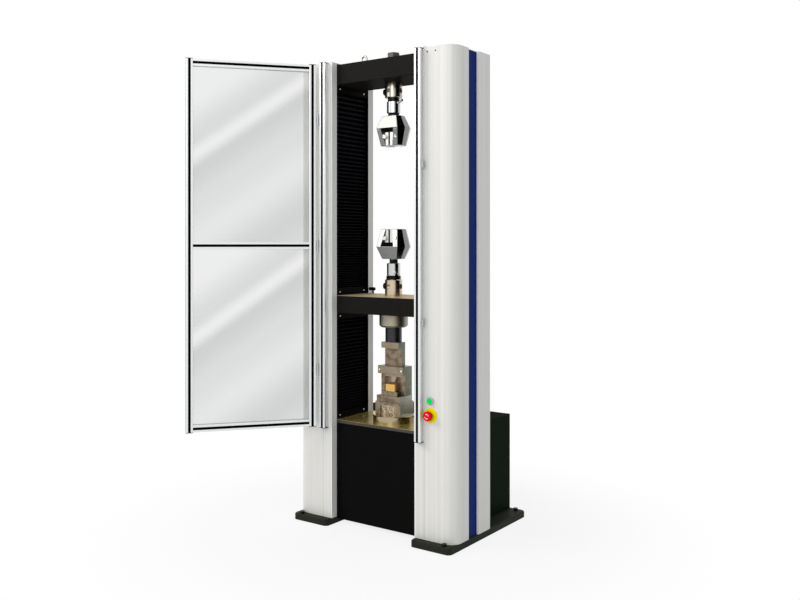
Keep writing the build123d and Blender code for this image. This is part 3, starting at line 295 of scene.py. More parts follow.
class Finish(Nodes):
    """A material with one Principled shader, and the few kinds of node that the finishes share."""

    def __init__(self, name, colour, roughness, **constants):
        self.material = bpy.data.materials.new(name)
        self.material.use_nodes = True
        super().__init__(self.material.node_tree)
        self.shader = self.tree.nodes["Principled BSDF"]
        self.colour = (*colour, 1)
        self.shader.inputs["Base Color"].default_value = self.colour
        self.shader.inputs["Roughness"].default_value = roughness
        for socket, value in constants.items():
            self.shader.inputs[socket.replace("_", " ")].default_value = value
        self.place = self.node("ShaderNodeTexCoord", output="Object")
        self.x, self.y, self.z = self.split(self.place)

    def split(self, vector):
        """The X, Y and Z values of a vector."""
        parts = self.node("ShaderNodeSeparateXYZ", inputs={0: vector}).socket.node.outputs
        return [Value(self, part) for part in parts]

    def noise(self, scale, detail=2.0, stretch=(1, 1, 1)):
        """Soft noise from 0 to 1, finer along an axis with a larger stretch."""
        place = self.place
        if stretch != (1, 1, 1):
            place = self.node("ShaderNodeMapping", inputs={"Vector": self.place, "Scale": stretch})
        return self.node("ShaderNodeTexNoise", inputs={"Vector": place, "Scale": scale, "Detail": detail})

    def mix(self, factor, low, high):
        """A colour between two colours, each a tuple or the result of another mix."""
        sides = {0: factor, 6: low, 7: high}
        return self.node("ShaderNodeMix", {"data_type": "RGBA"}, sides, output=2)

    def shade(self, amount):
        """The finish's own colour times a plain amount."""
        return shaded(self.colour, amount)

    def feed(self, **values):
        """Links varying values to the shader's sockets."""
        for socket, value in values.items():
            self.tree.links.new(value.socket, self.shader.inputs[socket.replace("_", " ")])
        return self

    def paint(self, factor, low, high):
        """Links a mix of two colours to Base Color."""
        return self.feed(Base_Color=self.mix(factor, low, high))

    def bump(self, height, depth):
        """Raises the surface by a height map times a depth in metres."""
        raised = {"Height": height, "Distance": depth}
        return self.feed(Normal=self.node("ShaderNodeBump", inputs=raised))


def coated(name, colour, roughness, grain=900, depth=0.00012, cloud=0.06, gloss=0.03):
    """Powder coat or paint: fine orange-peel grain, faint clouding of colour and gloss."""
    finish = Finish(name, colour, roughness, Specular_IOR_Level=gloss)
    peel = finish.noise(grain)
    drift = finish.noise(4, 3)
    finish.base = finish.mix(drift, finish.shade(1 - cloud), finish.shade(1 + cloud))
    finish.feed(Base_Color=finish.base, Roughness=drift * 0.12 + peel * 0.06 + (roughness - 0.09))
    return finish.bump(peel, depth)


def dull_paint(name, colour, roughness, coat=0.05, grain=900, depth=0.00012):
    """Dull black paint under a thin coat, which keeps its gloss low at flat angles too."""
    finish = coated(name, colour, roughness, grain, depth, cloud=0.1, gloss=0)
    finish.shader.inputs["Coat Weight"].default_value = coat
    finish.shader.inputs["Coat Roughness"].default_value = 0.3
    return finish


def machined(name, colour, roughness, lines, smear=0.12, depth=0.00002):
    """Bare or plated metal: tool lines by a stretched noise, and hand smears in the gloss."""
    finish = Finish(name, colour, roughness, Metallic=1.0)
    marks = finish.noise(1, 3, lines)
    smears = finish.noise(22, 4)
    finish.base = finish.mix(smears, finish.shade(0.9), finish.shade(1.08))
    finish.gloss = smears * smear + marks * 0.08 + (roughness - smear / 2)
    finish.feed(Base_Color=finish.base, Roughness=finish.gloss)
    return finish.bump(marks, depth)


def casing_finish(colour):
    """White casing coat with the joint line of the front panel, faint panel bands and a little dust above the
    foot, painted highlights on the front's inner corner beside the slot and on the rear casing's front face
    beside the trim strip, and painted shade in black inside the slot and the column."""
    finish = coated("casing_white", colour, 0.4, cloud=0.02, gloss=0.4)
    joint_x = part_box("door_posts")[1].x
    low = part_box("front_casings")[0]
    rear_low, rear_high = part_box("rear_casings")
    across = abs(finish.x)
    bands = finish.noise(1, 2, (70, 70, 0.4))
    panelled = finish.mix(bands.rise(0.3, 0.7), finish.shade(0.955), finish.shade(1.03))
    front = finish.y.fall(low.y + MM, low.y + 2 * MM)
    line = abs(across - joint_x).fall(0.3 * MM, 1.0 * MM) * front
    dust_height = 90 * MM
    dust = finish.z.fall(low.z, low.z + dust_height) * finish.noise(30, 4) * 0.3
    dusty = finish.mix(dust, panelled, finish.shade(0.72))
    lined = finish.mix(line * 0.7, dusty, finish.shade(0.35))
    # Painted light: the rear casing's front face, in the recess beside the trim strip, is painted white as if
    # lit.
    edge = finish.y.between(rear_low.y - 0.2 * MM, rear_low.y + 0.4 * MM, 0.2 * MM)
    # Painted highlight: a white strip down the inner corner of the front face beside the slot, with a
    # half-metal sheen.
    bare = across.fall(SLOT_X + 3 * MM, SLOT_X + 5 * MM) * front
    lined = finish.mix(edge.larger(bare), lined, WHITE)
    # Painted shade: the slot's walls and the column's inner walls are painted black, with full metal, where
    # shade falls.
    wall = 1.5 * MM
    depth = SLOT_X + 80 * MM
    soft = 0.3 * MM
    slot = finish.y.between(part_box("top_beam")[0].y, rear_high.y - REAR_LIP, soft)
    inside = finish.y.between(low.y + wall, rear_high.y - wall, soft)
    inside = inside * across.rise(SLOT_X + MM, SLOT_X + wall)
    black = slot.larger(inside) * across.fall(depth, depth + MM)
    slot_shade_black = (0.003, 0.003, 0.003, 1)
    finish.paint(black, lined, slot_shade_black)
    # Metal is full on the painted shade and half on the painted highlight.
    return finish.feed(Metallic=black.larger(bare * 0.5)).material


def foot_finish(colour):
    """Rough textured foot paint with scuffs that show paler on top."""
    finish = coated("foot_paint", colour, 0.62, grain=450, depth=0.0004, cloud=0.12, gloss=0.1)
    scuff = finish.noise(60, 5).rise(0.6, 0.72)
    return finish.paint(scuff * 0.35, finish.base, finish.shade(1.9)).material


def crosshead_finish(paint, steel):
    """Black paint all over the crosshead except its ground top face."""
    finish = dull_paint("crosshead_paint", paint, 0.42)
    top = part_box("crosshead_beam")[1].z
    bare = finish.z.rise(top - 1.2 * MM, top - 0.6 * MM)
    lines = finish.noise(1, 3, GROUND_X)
    worn = finish.mix(lines, shaded(steel, 1.15), shaded(steel, 0.8))
    finish.feed(Base_Color=finish.mix(bare, finish.base, worn), Metallic=bare * 0.55)
    return finish.feed(Roughness=bare * 0.1 + 0.42).material


def table_finish(colour):
    """Ground table top: fine lines along X, oily stains and a dark rim with a worn top edge."""
    finish = machined("table_steel", colour, 0.22, GROUND_X, smear=0.16, depth=0.00003)
    stain = finish.noise(9, 5).rise(0.42, 0.7)
    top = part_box("worktable")[1].z
    rim = finish.z.fall(top - 1.6 * MM, top - 0.6 * MM)
    stained = finish.mix(stain * 0.3, finish.base, finish.shade(0.55))
    finish.paint(rim, stained, opaque(60, 52, 45))
    return finish.feed(Metallic=(1 - rim) * 0.5 + 0.1).material


def socket_finish(name, colour, mouth, up):
    """Nickel socket with fine turning lines, and its black ring at the narrow end."""
    finish = machined(name, colour, 0.17, TURNED)
    ring_width = 15 * MM
    ring = mouth + up * ring_width
    black = finish.z.rise(ring - 0.3 * MM, ring + 0.3 * MM)
    if up > 0:
        black = 1 - black
    ring_black = (0.012, 0.012, 0.013, 1)
    return finish.paint(black, finish.base, ring_black).material


def grip_finish(name, colour, mouth, up):
    """Polished plating outside; painted shade in matt black in the wedge pocket, and the same black on the
    neck.
    The front and rear faces spread from the mouth by a slope, so what lies further in than that slope is
    pocket."""
    finish = machined(name, colour, 0.14, (80, 80, 80), smear=0.1, depth=0.00001)
    inward = (finish.z - mouth) * up
    face = inward * GRIP_SLOPE + GRIP_MOUTH
    pocket_end = 77 * MM
    pocket_half = 42 * MM
    neck = 131 * MM
    # Painted shade: the pocket is painted matt black without metal, where shade falls inside it; the neck
    # gets the same black.
    pocket = (abs(finish.y) - face).fall(-2 * MM, -MM)
    pocket = pocket * inward.between(MM, pocket_end, 0.5 * MM)
    pocket = pocket * abs(finish.x).fall(pocket_half - MM, pocket_half)
    pocket = pocket.larger(inward.rise(neck - 0.5 * MM, neck))
    finish.paint(pocket, finish.base, SHADE_BLACK)
    return finish.feed(Metallic=1 - pocket, Roughness=finish.gloss + pocket * 0.8).material


def jaw_finish(colour):
    """Ground jaw steel, with painted shade in black on the faces that grip, across the narrow gap between the
    jaws, and along their edges.
    """
    finish = machined("jaw_steel", colour, 0.26, (200, 200, 700))
    tooth = 4.7 * MM
    # Painted shade: the faces that grip, facing each other across the gap, are painted black without metal.
    gap_shade = abs(finish.x).fall(tooth - 0.5 * MM, tooth)
    finish.paint(gap_shade, finish.base, SHADE_BLACK)
    return finish.feed(Metallic=1 - gap_shade).material


def tool_finish(colour):
    """Milled fixture steel: cutter lines, brown staining on the front and back, a paler crossbar and worn
    bright spots;
    painted reflection that makes the sides darker and grey-green, paler on the base; and painted light that
    brightens the shaded base recess and guide opening."""
    finish = machined("tool_steel", colour, 0.3, MILLED, smear=0.24, depth=0.00006)
    facing = finish.node("ShaderNodeTexCoord", output="Normal")
    # Painted reflection: faces turned to either side are painted darker and greener than the front and back.
    side_shade = abs(finish.split(facing)[0]).rise(0.6, 0.8)
    stain = finish.noise(35, 5).rise(0.42, 0.66)
    brown = finish.mix(stain * 0.7, finish.base, opaque(96, 74, 54))
    ground = finish.mix(finish.noise(55, 4), opaque(92, 96, 86), opaque(122, 127, 112))
    bright = finish.noise(120, 3).rise(0.58, 0.72)
    across, depth, height = abs(finish.x), finish.y, finish.z
    low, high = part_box("fixture_frame")
    bar_low = high.z - 34 * MM
    face = low.y + 22 * MM
    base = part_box("fixture_base")[0]
    recess_half = 43 * MM
    recess_top = base.z + 43 * MM
    opening_half = 47.5 * MM
    bar = depth.fall(low.y + 3 * MM, low.y + 4 * MM) * height.rise(low.z, bar_low - 6 * MM)
    brown = finish.mix(bar * 0.6, brown, finish.shade(1.25))
    under = height.fall(low.z - MM, low.z)
    # On the base the sides are painted paler.
    pale = finish.mix(finish.noise(55, 4), opaque(150, 150, 136), opaque(192, 191, 175))
    faced = finish.mix(side_shade, brown, finish.mix(under, ground, pale))
    worn = finish.mix(bright * 0.6, faced, finish.shade(1.6))
    # Painted light: the base recess is painted up to 2.2 times paler, in mottled patches, against the shade
    # it sits in.
    recess = depth.between(base.y + MM, base.y + 9 * MM, 0.3 * MM)
    recess = recess * height.fall(recess_top - 0.7 * MM, recess_top)
    recess = recess * across.fall(recess_half - 0.7 * MM, recess_half)
    # Painted light: the faces inside the guide opening are painted 1.7 times paler and less metal, against
    # the shade inside it.
    opening = depth.rise(face + 0.3 * MM, face + 0.8 * MM)
    opening = opening * across.fall(opening_half - 0.5 * MM, opening_half)
    opening = opening * height.between(low.z + MM, bar_low, MM)
    recess_light = finish.mix(finish.noise(110, 4).rise(0.4, 0.62), finish.shade(0.8), finish.shade(2.2))
    recess_lit = finish.mix(recess, worn, recess_light)
    finish.feed(Base_Color=finish.mix(opening, recess_lit, finish.shade(1.7)), Metallic=1 - opening * 0.65)
    return finish.material


def adapter_finish(colour):
    """Black oxide with a fine pale speckle where the skin is worn through."""
    finish = coated("adapter_oxide", colour, 0.3, grain=700, gloss=0.5)
    speckle = finish.noise(240, 4).rise(0.5, 0.62) * 0.5
    return finish.paint(speckle, finish.shade(0.2), finish.shade(4.5)).material


def wood_finish(colour):
    """Glued boards: wavy grain along X, a dark glue line, and a browner rear board."""
    finish = Finish("specimen_wood", colour, 0.6)
    front_board = 13 * MM
    glue_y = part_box("wood_specimen")[0].y + front_board
    rings = finish.noise(1, 4, (40, 420, 420))
    fibre = finish.noise(1, 2, (90, 2600, 2600))
    front = finish.mix(rings, finish.shade(0.84), finish.shade(1.2))
    rear = finish.mix(rings, opaque(132, 82, 58), opaque(186, 124, 88))
    behind = finish.y.rise(glue_y - 0.2 * MM, glue_y + 0.2 * MM)
    line = abs(finish.y - glue_y).fall(0.5 * MM, 1.1 * MM)
    boards = finish.mix(behind, front, rear)
    glue = (0.03, 0.016, 0.01, 1)
    finish.paint(line * 0.85, boards, glue)
    finish.feed(Roughness=rings * 0.2 + 0.5)
    return finish.bump(fibre, 0.0002).material


def bellows_finish(colour, crest_x, depth):
    """Black folded rubber: fine grain, and a painted highlight along each outer fold, short of the sides."""
    finish = Finish("bellows_rubber", colour, 0.5, Specular_IOR_Level=0.12)
    grain = finish.noise(1600)
    dusty = finish.noise(14, 4)
    low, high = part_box("upper_bellows")
    margin = 11 * MM
    inner = finish.y.between(low.y + margin, high.y - margin, 3 * MM)
    # Painted highlight: a paler line along each outer fold, fading out near the sides.
    crest_highlight = (abs(finish.x) - crest_x).fall(0.05 * depth, 0.45 * depth) * (dusty * 0.5 + 0.5) * inner
    finish.paint(crest_highlight, finish.shade(0.35), finish.shade(4.5))
    finish.feed(Roughness=dusty * 0.2 + 0.4)
    return finish.bump(grain, 0.0001).material


def aluminium_finish(name, colour, roughness):
    """Anodised extrusion: satin metal with faint die lines along its length."""
    finish = Finish(name, colour, roughness, Metallic=0.8)
    lines = finish.noise(1, 2, (1300, 1300, 3))
    drift = finish.noise(6, 2)
    finish.paint(drift, finish.shade(0.95), finish.shade(1.03))
    finish.feed(Roughness=lines * 0.12 + (roughness - 0.06))
    return finish.bump(lines, 0.00002).material


def pane_finish(colour):
    """Clear sheet: mostly see-through, with soft slanting bands of painted reflection, in its alpha, across
    each pane.
    """
    finish = Finish("clear_pane", colour, 0.06, IOR=1.49)
    hinge = JOINTS["door_swing"]["pos_m"]
    along = (finish.x - hinge[0]) * math.cos(DOOR_OPEN) - (finish.y - hinge[1]) * math.sin(DOOR_OPEN)
    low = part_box("door_panes")[0].z
    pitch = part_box("door_frame")[1].z / 2 - low / 2
    climb = ((finish.z - low) / pitch).fraction() * pitch
    slant = 0.71
    reach = 1.13
    places = (0, 0.16, 0.34, 0.47, 0.6, 0.66, 0.72, 0.88)
    # Painted reflection: slanting bands of lower and higher alpha, fixed on the pane.
    reflection_bands = (0.2, 0.26, 0.15, 0.2, 0.27, 0.11, 0.22, 0.11)
    finish.feed(Alpha=((climb + along * slant) / reach).ramp(*zip(places, reflection_bands)))
    finish.material.surface_render_method = "BLENDED"
    return finish.material


def plastic_finish(name, colour, roughness):
    """Moulded plastic with a faint grain."""
    finish = Finish(name, colour, roughness, Specular_IOR_Level=0.1)
    grain = finish.noise(1500)
    drift = finish.noise(120, 2)
    finish.paint(drift, finish.shade(0.94), finish.shade(1.05))
    finish.feed(Roughness=drift * 0.12 + (roughness - 0.06))
    return finish.bump(grain, 0.00003).material


def barrel_finish(chrome, black):
    """The two switch barrels: a chrome bezel above, a black collar below."""
    finish = machined("bezel_chrome", chrome, 0.12, TURNED, smear=0.08)
    low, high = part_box("switch_barrels")
    middle = (low.z + high.z) / 2
    above = finish.z.rise(middle - MM, middle + MM)
    finish.feed(Base_Color=finish.mix(above, (*black, 1), finish.base), Metallic=above)
    return finish.feed(Roughness=0.4 - above * 0.26).material


class Shape:
    """Points and faces of one new piece, in metres, gathered form by form."""

    def __init__(self):
        self.points = []
        self.faces = []
        self.total = 0

    def grid(self, points, around=False, along=False):
        """A sheet of quads over points [rows, columns, 3]; around joins the columns, along joins the rows."""
        rows, columns = points.shape[:2]
        index = np.arange(rows * columns).reshape(rows, columns) + self.total
        if around:
            index = np.concatenate([index, index[:, :1]], 1)
        if along:
            index = np.concatenate([index, index[:1]], 0)
        quads = np.stack([index[:-1, :-1], index[1:, :-1], index[1:, 1:], index[:-1, 1:]], -1)
        self.faces += quads.reshape(-1, 4).tolist()
        self.points.append(points.reshape(-1, 3))
        self.total += rows * columns

    def prism(self, outline, origin, across, upward, along):
        """An outline of (a, b) pairs, at origin + a across + b upward, carried by along and closed at its
        two ends."""
        outline = np.asarray(outline, float)
        ring = np.asarray(origin) + outline[:, :1] * across + outline[:, 1:] * upward
        start = self.total
        corners = len(outline)
        self.grid(np.stack([ring, ring + along]), around=True)
        self.faces.append(list(range(start, start + corners)))
        self.faces.append(list(range(start + corners, start + 2 * corners)))

    def lathe(self, profile, origin, axis, steps):
        """A profile of (radius, height) pairs turned about an axis:
        origin + height axis + radius (cos t u + sin t v)."""
        profile = np.asarray(profile, float)
        axis = np.asarray(axis, float)
        first = np.cross(axis, Z if abs(axis[2]) < 0.9 else X)
        second = np.cross(axis, first)
        turn = np.linspace(0, 2 * np.pi, steps, endpoint=False)
        ring = np.cos(turn)[:, None] * first + np.sin(turn)[:, None] * second
        points = np.asarray(origin) + profile[:, 1, None, None] * axis + profile[:, 0, None, None] * ring
        self.grid(points, around=True)

    def piece(self, name, material, slot, sharp=35):
        """Welds poles and seams, turns the faces outwards and links the object. The slot it is given is not
        used.
        """
        mesh = bpy.data.meshes.new(name)
        mesh.from_pydata(np.concatenate(self.points), [], self.faces)
        work = bmesh.new()
        work.from_mesh(mesh)
        bmesh.ops.remove_doubles(work, verts=work.verts, dist=1e-7)
        bmesh.ops.recalc_face_normals(work, faces=work.faces)
        work.to_mesh(mesh)
        work.free()
        mesh.shade_smooth()
        mesh.set_sharp_from_angle(angle=math.radians(sharp))
        mesh.materials.append(material)
        made = bpy.data.objects.new(name, mesh)
        bpy.context.scene.collection.objects.link(made)
        return made


def dress(material, *names):
    """Gives CAD nodes their finish."""
    for name in names:
        mesh = NODES[name].data
        mesh.materials.clear()
        mesh.materials.append(material)


def screw_steel(name, colour, roughness):
    """Steel of screw heads, made when it is first asked for."""
    return bpy.data.materials.get(name) or machined(name, colour, roughness, (300, 300, 300)).material


def dark_screws(colours):
    """Blackened screw steel."""
    return screw_steel("screw_dark", colours.oxide, 0.34)


def bright_screws(colours):
    """Bright screw steel."""
    return screw_steel("screw_bright", colours.screw, 0.22)


def screw_head(shape, place, axis, radius):
    """A low round head with a socket: the profile, in radii and heights, steps from the socket floor over a
    rounded rim to the seat."""
    tall = 0.62 * radius
    profile = np.array(
        [(0, 0.3), (0.42, 0.3), (0.45, 0.96), (0.6, 1), (0.86, 0.86), (1, 0.45), (1, 0), (0, 0)]
    )
    shape.lathe(profile * (radius, tall), place, axis, 18)


def settings(context):
    """The machine's settings in a scene."""
    return context.scene.testing_machine


class TESTING_OT_columns(bpy.types.Operator):
    """White casings, blue strips, caps and their small screws"""

    bl_idname = "testing_machine.columns"
    bl_label = "Columns"

    def execute(self, context):
        colours = settings(context).finish
        dress(casing_finish(colours.casing), "front_casings", "rear_casings")
        dress(coated("cap_white", colours.casing, 0.4, cloud=0.02, gloss=0.4).material, "top_caps")
        dress(coated("trim_blue", colours.trim, 0.36, cloud=0.05).material, "trim_strips")
        low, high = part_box("front_casings")
        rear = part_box("rear_casings")[1].y
        front_x = (280 * MM, 320 * MM)
        front_drop = 15 * MM
        rear_x = (240 * MM, 385 * MM)
        rear_inset = 60 * MM
        screws = Shape()
        for side in (-1, 1):
            for x in front_x:
                screw_head(screws, (side * x, low.y, high.z - front_drop), -Y, 3 * MM)
            for x in rear_x:
                for z in np.linspace(low.z + rear_inset, high.z - rear_inset, 5):
                    screw_head(screws, (side * x, rear, z), Y, 4 * MM)
        dark = dark_screws(colours)
        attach(screws.piece("casing_screws", dark, "dark_pin"), "frame")
        return {"FINISHED"}


class TESTING_OT_base(bpy.types.Operator):
    """Feet, bolts, front panel, rear cabinet with its louvred cover, and what stands inside"""

    bl_idname = "testing_machine.base"
    bl_label = "Base"

    def execute(self, context):
        colours = settings(context).finish
        dress(foot_finish(colours.foot), "feet", "base_frame")
        dark = dark_screws(colours)
        dress(dark, "levelling_bolts")
        dress(dull_paint("panel_black", colours.panel, 0.44).material, "front_panel")
        cabinet = dull_paint("cabinet_paint", colours.cabinet, 0.42, 0.03, grain=600, depth=0.0002)
        dress(cabinet.material, "rear_cabinet", "rear_cover")
        dress(coated("motor_paint", colours.oxide, 0.45).material, "drive_motor")
        dress(plastic_finish("drive_case", linear(84, 86, 88), 0.5), "servo_drive")
        self.hoods(cabinet.material, settings(context).piece.hood_depth)
        self.screws(dark)
        return {"FINISHED"}

    def hoods(self, material, depth):
        """Each hood is a quarter round over its slot: out by depth sin f, down by drop (1 - cos f), f from 0
        to 90 degrees, drawn in to nothing at both ends by 1 - |2u - 1| to the sixth power."""
        low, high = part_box("rear_cover")
        middle = (low.z + high.z) / 2
        rows = 8
        columns = (-150 * MM, 150 * MM)
        pitch = 18 * MM
        reach = 66 * MM
        drop = 10 * MM
        above_slot = 5 * MM
        u, f = np.meshgrid(np.linspace(0, 1, 25), np.linspace(0, np.pi / 2, 7), indexing="ij")
        taper = 1 - np.abs(2 * u - 1) ** 6
        shape = Shape()
        for x in columns:
            for row in range(rows):
                top = middle + (row - (rows - 1) / 2) * pitch + above_slot
                outer = np.stack([
                    x + (2 * u - 1) * reach,
                    high.y + depth * taper * np.sin(f),
                    top - drop * (1 - np.cos(f)),
                ], -1)
                shape.grid(outer)
        hoods = shape.piece("cover_louvres", material, "black_paint", sharp=60)
        sheet = hoods.modifiers.new("sheet", "SOLIDIFY")
        sheet.thickness = 0.8 * MM
        sheet.offset = 0
        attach(hoods, "frame")

    def screws(self, material):
        """Cover screws round the edge of the rear cover."""
        low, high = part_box("rear_cover")
        inset = 14 * MM
        shape = Shape()
        for x in np.linspace(low.x + inset, high.x - inset, 4):
            for z in (low.z + inset, high.z - inset):
                screw_head(shape, (x, high.y, z), Y, 4.5 * MM)
        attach(shape.piece("cover_screws", material, "dark_pin"), "frame")


class TESTING_OT_beams(bpy.types.Operator):
    """Top beam, crosshead and worktable, with the guides, screws and drive between them"""

    bl_idname = "testing_machine.beams"
    bl_label = "Beams"

    def execute(self, context):
        colours = settings(context).finish
        dress(dull_paint("beam_black", colours.beam, 0.4).material, "top_beam")
        dress(crosshead_finish(colours.beam, colours.bare), "crosshead_beam")
        dress(table_finish(colours.table), "worktable")
        shaft = machined("shaft_steel", colours.steel, 0.2, TURNED).material
        dress(shaft, "guide_columns", "screw_bearings", "left_screw", "right_screw")
        dress(shaft, "motor_pulley", "ball_nuts", "lifting_eyes")
        dress(machined("dark_steel", colours.iron, 0.3, (200, 200, 200)).material, "draw_nut")
        dress(machined("bronze", colours.bronze, 0.28, TURNED).material, "guide_bushes")
        dress(bpy.data.materials["panel_black"], "limit_trip")
        dress(coated("belt_rubber", colours.rubber, 0.6, grain=1400).material, "drive_belts")
        return {"FINISHED"}


class TESTING_OT_bellows(bpy.types.Operator):
    """Pleated bellows that stretch between the fixed beams and the crosshead, their flanges and screws"""

    bl_idname = "testing_machine.bellows"
    bl_label = "Bellows"

    def execute(self, context):
        colours = settings(context).finish
        sizes = settings(context).piece
        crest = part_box("upper_bellows")[1].x - sizes.pleat_depth - sizes.skin
        rubber = bellows_finish(colours.rubber, crest, sizes.pleat_depth)
        dress(bpy.data.materials["panel_black"], "fixed_flanges", "moving_flanges")
        for node, pleats, sag, fixed_high in (
            ("upper_bellows", sizes.upper_pleats, sizes.upper_sag, True),
            ("lower_bellows", sizes.lower_pleats, sizes.lower_sag, False),
        ):
            low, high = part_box(node)
            ends = [(0, 0, high.z), (0, 0, low.z)]
            if not fixed_high:
                ends.reverse()
            for side, word in ((-1, "left"), (1, "right")):
                shape = self.pleated(low, high, (pleats, sag), side, crest, sizes)
                skin = shape.piece(f"{node}_{word}", rubber, "bellows_rubber", sharp=50)
                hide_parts(node)
                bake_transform(skin)
        bright = bright_screws(colours)
        for node, body in (("fixed_flanges", "frame"), ("moving_flanges", "crosshead")):
            self.screws(node, body, bright, sizes.screw_head)
        return {"FINISHED"}

    def pleated(self, low, high, folds, side, crest, sizes):
        """A zigzag with rounded folds, x = crest + depth (1 - asin(k cos t) / asin k) / 2, run across the
        slot in Y. It hangs, so height grows as sag to the power s, and the top fold is sag times as wide as
        the bottom one. The skin is the same line moved back by its thickness, closed at its ends."""
        pleats, sag = folds
        sharpness = 0.985
        steps = np.linspace(0, 1, pleats * 12 + 1)
        wave = np.arcsin(sharpness * np.cos(2 * np.pi * pleats * steps)) / math.asin(sharpness)
        near = crest + sizes.pleat_depth * (1 - wave) / 2
        heights = low.z + (high.z - low.z) * (sag ** steps - 1) / (sag - 1)
        out = np.concatenate([near, near[::-1] + sizes.skin])
        up = np.concatenate([heights, heights[::-1]])
        across = np.linspace(low.y, high.y, 5)
        points = np.stack(np.broadcast_arrays(side * out[:, None], across, up[:, None]), -1)
        shape = Shape()
        shape.grid(points, along=True)
        for column in (0, -1):
            front = points[: len(near), column]
            back = points[len(near):, column][::-1]
            shape.grid(np.stack([front, back], 1))
        return shape

    def screws(self, node, body, material, radius):
        """Two screws on each flange face, near the front and rear edges."""
        low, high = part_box(node)
        flange = 30 * MM
        face = 222 * MM
        heights = (low.z + flange / 2, high.z - flange / 2)
        depths = (low.y + 24 * MM, high.y - 26 * MM)
        shape = Shape()
        for side in (-1, 1):
            for y in depths:
                for z in heights:
                    screw_head(shape, (side * face, y, z), -side * X, radius)
        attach(shape.piece(f"{node}_screws", material, "shaft_steel"), body)


def mouth_of(node, up):
    """Height of a node's end at the mouth of its grip: its lowest where up is 1, its highest where -1."""
    low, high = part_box(node)
    return low.z if up > 0 else high.z


class TESTING_OT_grips(bpy.types.Operator):
    """Sockets, pins, sleeves, wedge grips and jaws of both load strings, with knobs, screws and a button"""

    bl_idname = "testing_machine.grips"
    bl_label = "Load strings"

    def execute(self, context):
        colours = settings(context).finish
        knob_radius = settings(context).piece.knob
        jaws = jaw_finish(colours.jaw)
        sleeve = machined("sleeve_chrome", colours.sleeve, 0.13, TURNED, smear=0.08).material
        bright = bright_screws(colours)
        dark = dark_screws(colours)
        for grip, body, up, nickel in (
            ("upper", "frame", 1, colours.bright_nickel),
            ("lower", "crosshead", -1, colours.nickel),
        ):
            socket = socket_finish(f"{grip}_nickel", nickel, mouth_of(f"{grip}_socket", up), up)
            chrome = grip_finish(f"{grip}_chrome", colours.chrome, mouth_of(f"{grip}_jaw_left", up), up)
            dress(socket, f"{grip}_socket")
            dress(dark, f"{grip}_cross_pin")
            dress(chrome, f"{grip}_grip_body")
            dress(sleeve, f"{grip}_sleeve")
            dress(jaws, f"{grip}_jaw_left", f"{grip}_jaw_right")
            self.knob(grip, up, bright, knob_radius)
            self.face_screws(grip, up, bright, body)
        self.button(bright)
        return {"FINISHED"}

    def knob(self, grip, up, material, radius):
        """A round knob with a sunk centre on the front of the left jaw, its profile in radii and heights."""
        jaw = f"{grip}_jaw_left"
        left = -21 * MM
        inward = 38 * MM
        tall = 11 * MM
        place = (left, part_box(jaw)[0].y, mouth_of(jaw, up) + up * inward)
        profile = np.array(
            [(0, 0.7), (0.4, 0.7), (0.45, 1), (0.8, 1), (1, 0.8), (1, 0.45), (0.7, 0.4), (0.7, 0), (0, 0)]
        )
        shape = Shape()
        shape.lathe(profile * (radius, tall), place, -Y, 28)
        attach(shape.piece(f"{grip}_jaw_knob", material, "grip_chrome"), f"{grip}_jaw_left")

    def face_screws(self, grip, up, material, body):
        """A large and two small screws on the grip's front, which spreads from its mouth by the slope."""
        mouth = mouth_of(f"{grip}_grip_body", up)
        outward = np.array([0, -1, -GRIP_SLOPE * up])
        outward /= np.linalg.norm(outward)
        shape = Shape()
        for x, inward, radius in np.array([(41.5, 38, 7.5), (-45, 69, 2.5), (45, 69, 2.5)]) * MM:
            place = (x, -(GRIP_MOUTH + GRIP_SLOPE * inward), mouth + up * inward)
            screw_head(shape, place, outward, radius)
        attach(shape.piece(f"{grip}_face_screws", material, "grip_chrome"), body)

    def button(self, material):
        """A round button in the wall of the lower sleeve, sunk so that its rim meets the curve."""
        low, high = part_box("lower_sleeve")
        turn = math.radians(44)
        rise = 16 * MM
        sunk = 1 * MM
        outward = np.array([math.sin(turn), -math.cos(turn), 0])
        shape = Shape()
        screw_head(shape, outward * (high.x - sunk) + Z * (low.z + rise), outward, 7 * MM)
        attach(shape.piece("lower_sleeve_button", material, "grip_chrome"), "lower_sleeve")


class TESTING_OT_press(bpy.types.Operator):
    """Load cell, adapter, ram, press fixture and wood specimen"""

    bl_idname = "testing_machine.press"
    bl_label = "Press tools"

    def execute(self, context):
        colours = settings(context).finish
        dress(machined("cell_nickel", colours.cell, 0.42, TURNED).material, "load_cell")
        dress(adapter_finish(colours.oxide), "press_adapter")
        dress(machined("disc_steel", colours.disc, 0.16, TURNED).material, "fixture_disc")
        dress(tool_finish(colours.tool), "press_ram", "fixture_base", "fixture_frame")
        dress(wood_finish(colours.wood), "wood_specimen")
        low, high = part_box("fixture_frame")
        spread = 58 * MM
        drop = 17 * MM
        bright = bright_screws(colours)
        screws = Shape()
        for x in (-spread, spread):
            screw_head(screws, (x, low.y, high.z - drop), -Y, 5.5 * MM)
        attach(screws.piece("crossbar_screws", bright, "shaft_steel"), "frame")
        return {"FINISHED"}


def turned_door(points, angle):
    """Points turned about the door's upright hinge axis: hinge + turn (points - hinge)."""
    hinge = np.array(JOINTS["door_swing"]["pos_m"])
    c, s = math.cos(angle), math.sin(angle)
    turn = np.array([[c, -s, 0], [s, c, 0], [0, 0, 1]])
    return (points - hinge) @ turn.T + hinge


def closed_door_box():
    """Lowest and highest corner of the door frame when it is shut."""
    mesh = NODES["door_frame"].data
    points = np.empty(len(mesh.vertices) * 3, np.float32)
    mesh.vertices.foreach_get("co", points)
    shut = turned_door(points.reshape(-1, 3).astype(float), DOOR_OPEN)
    return shut.min(0), shut.max(0)


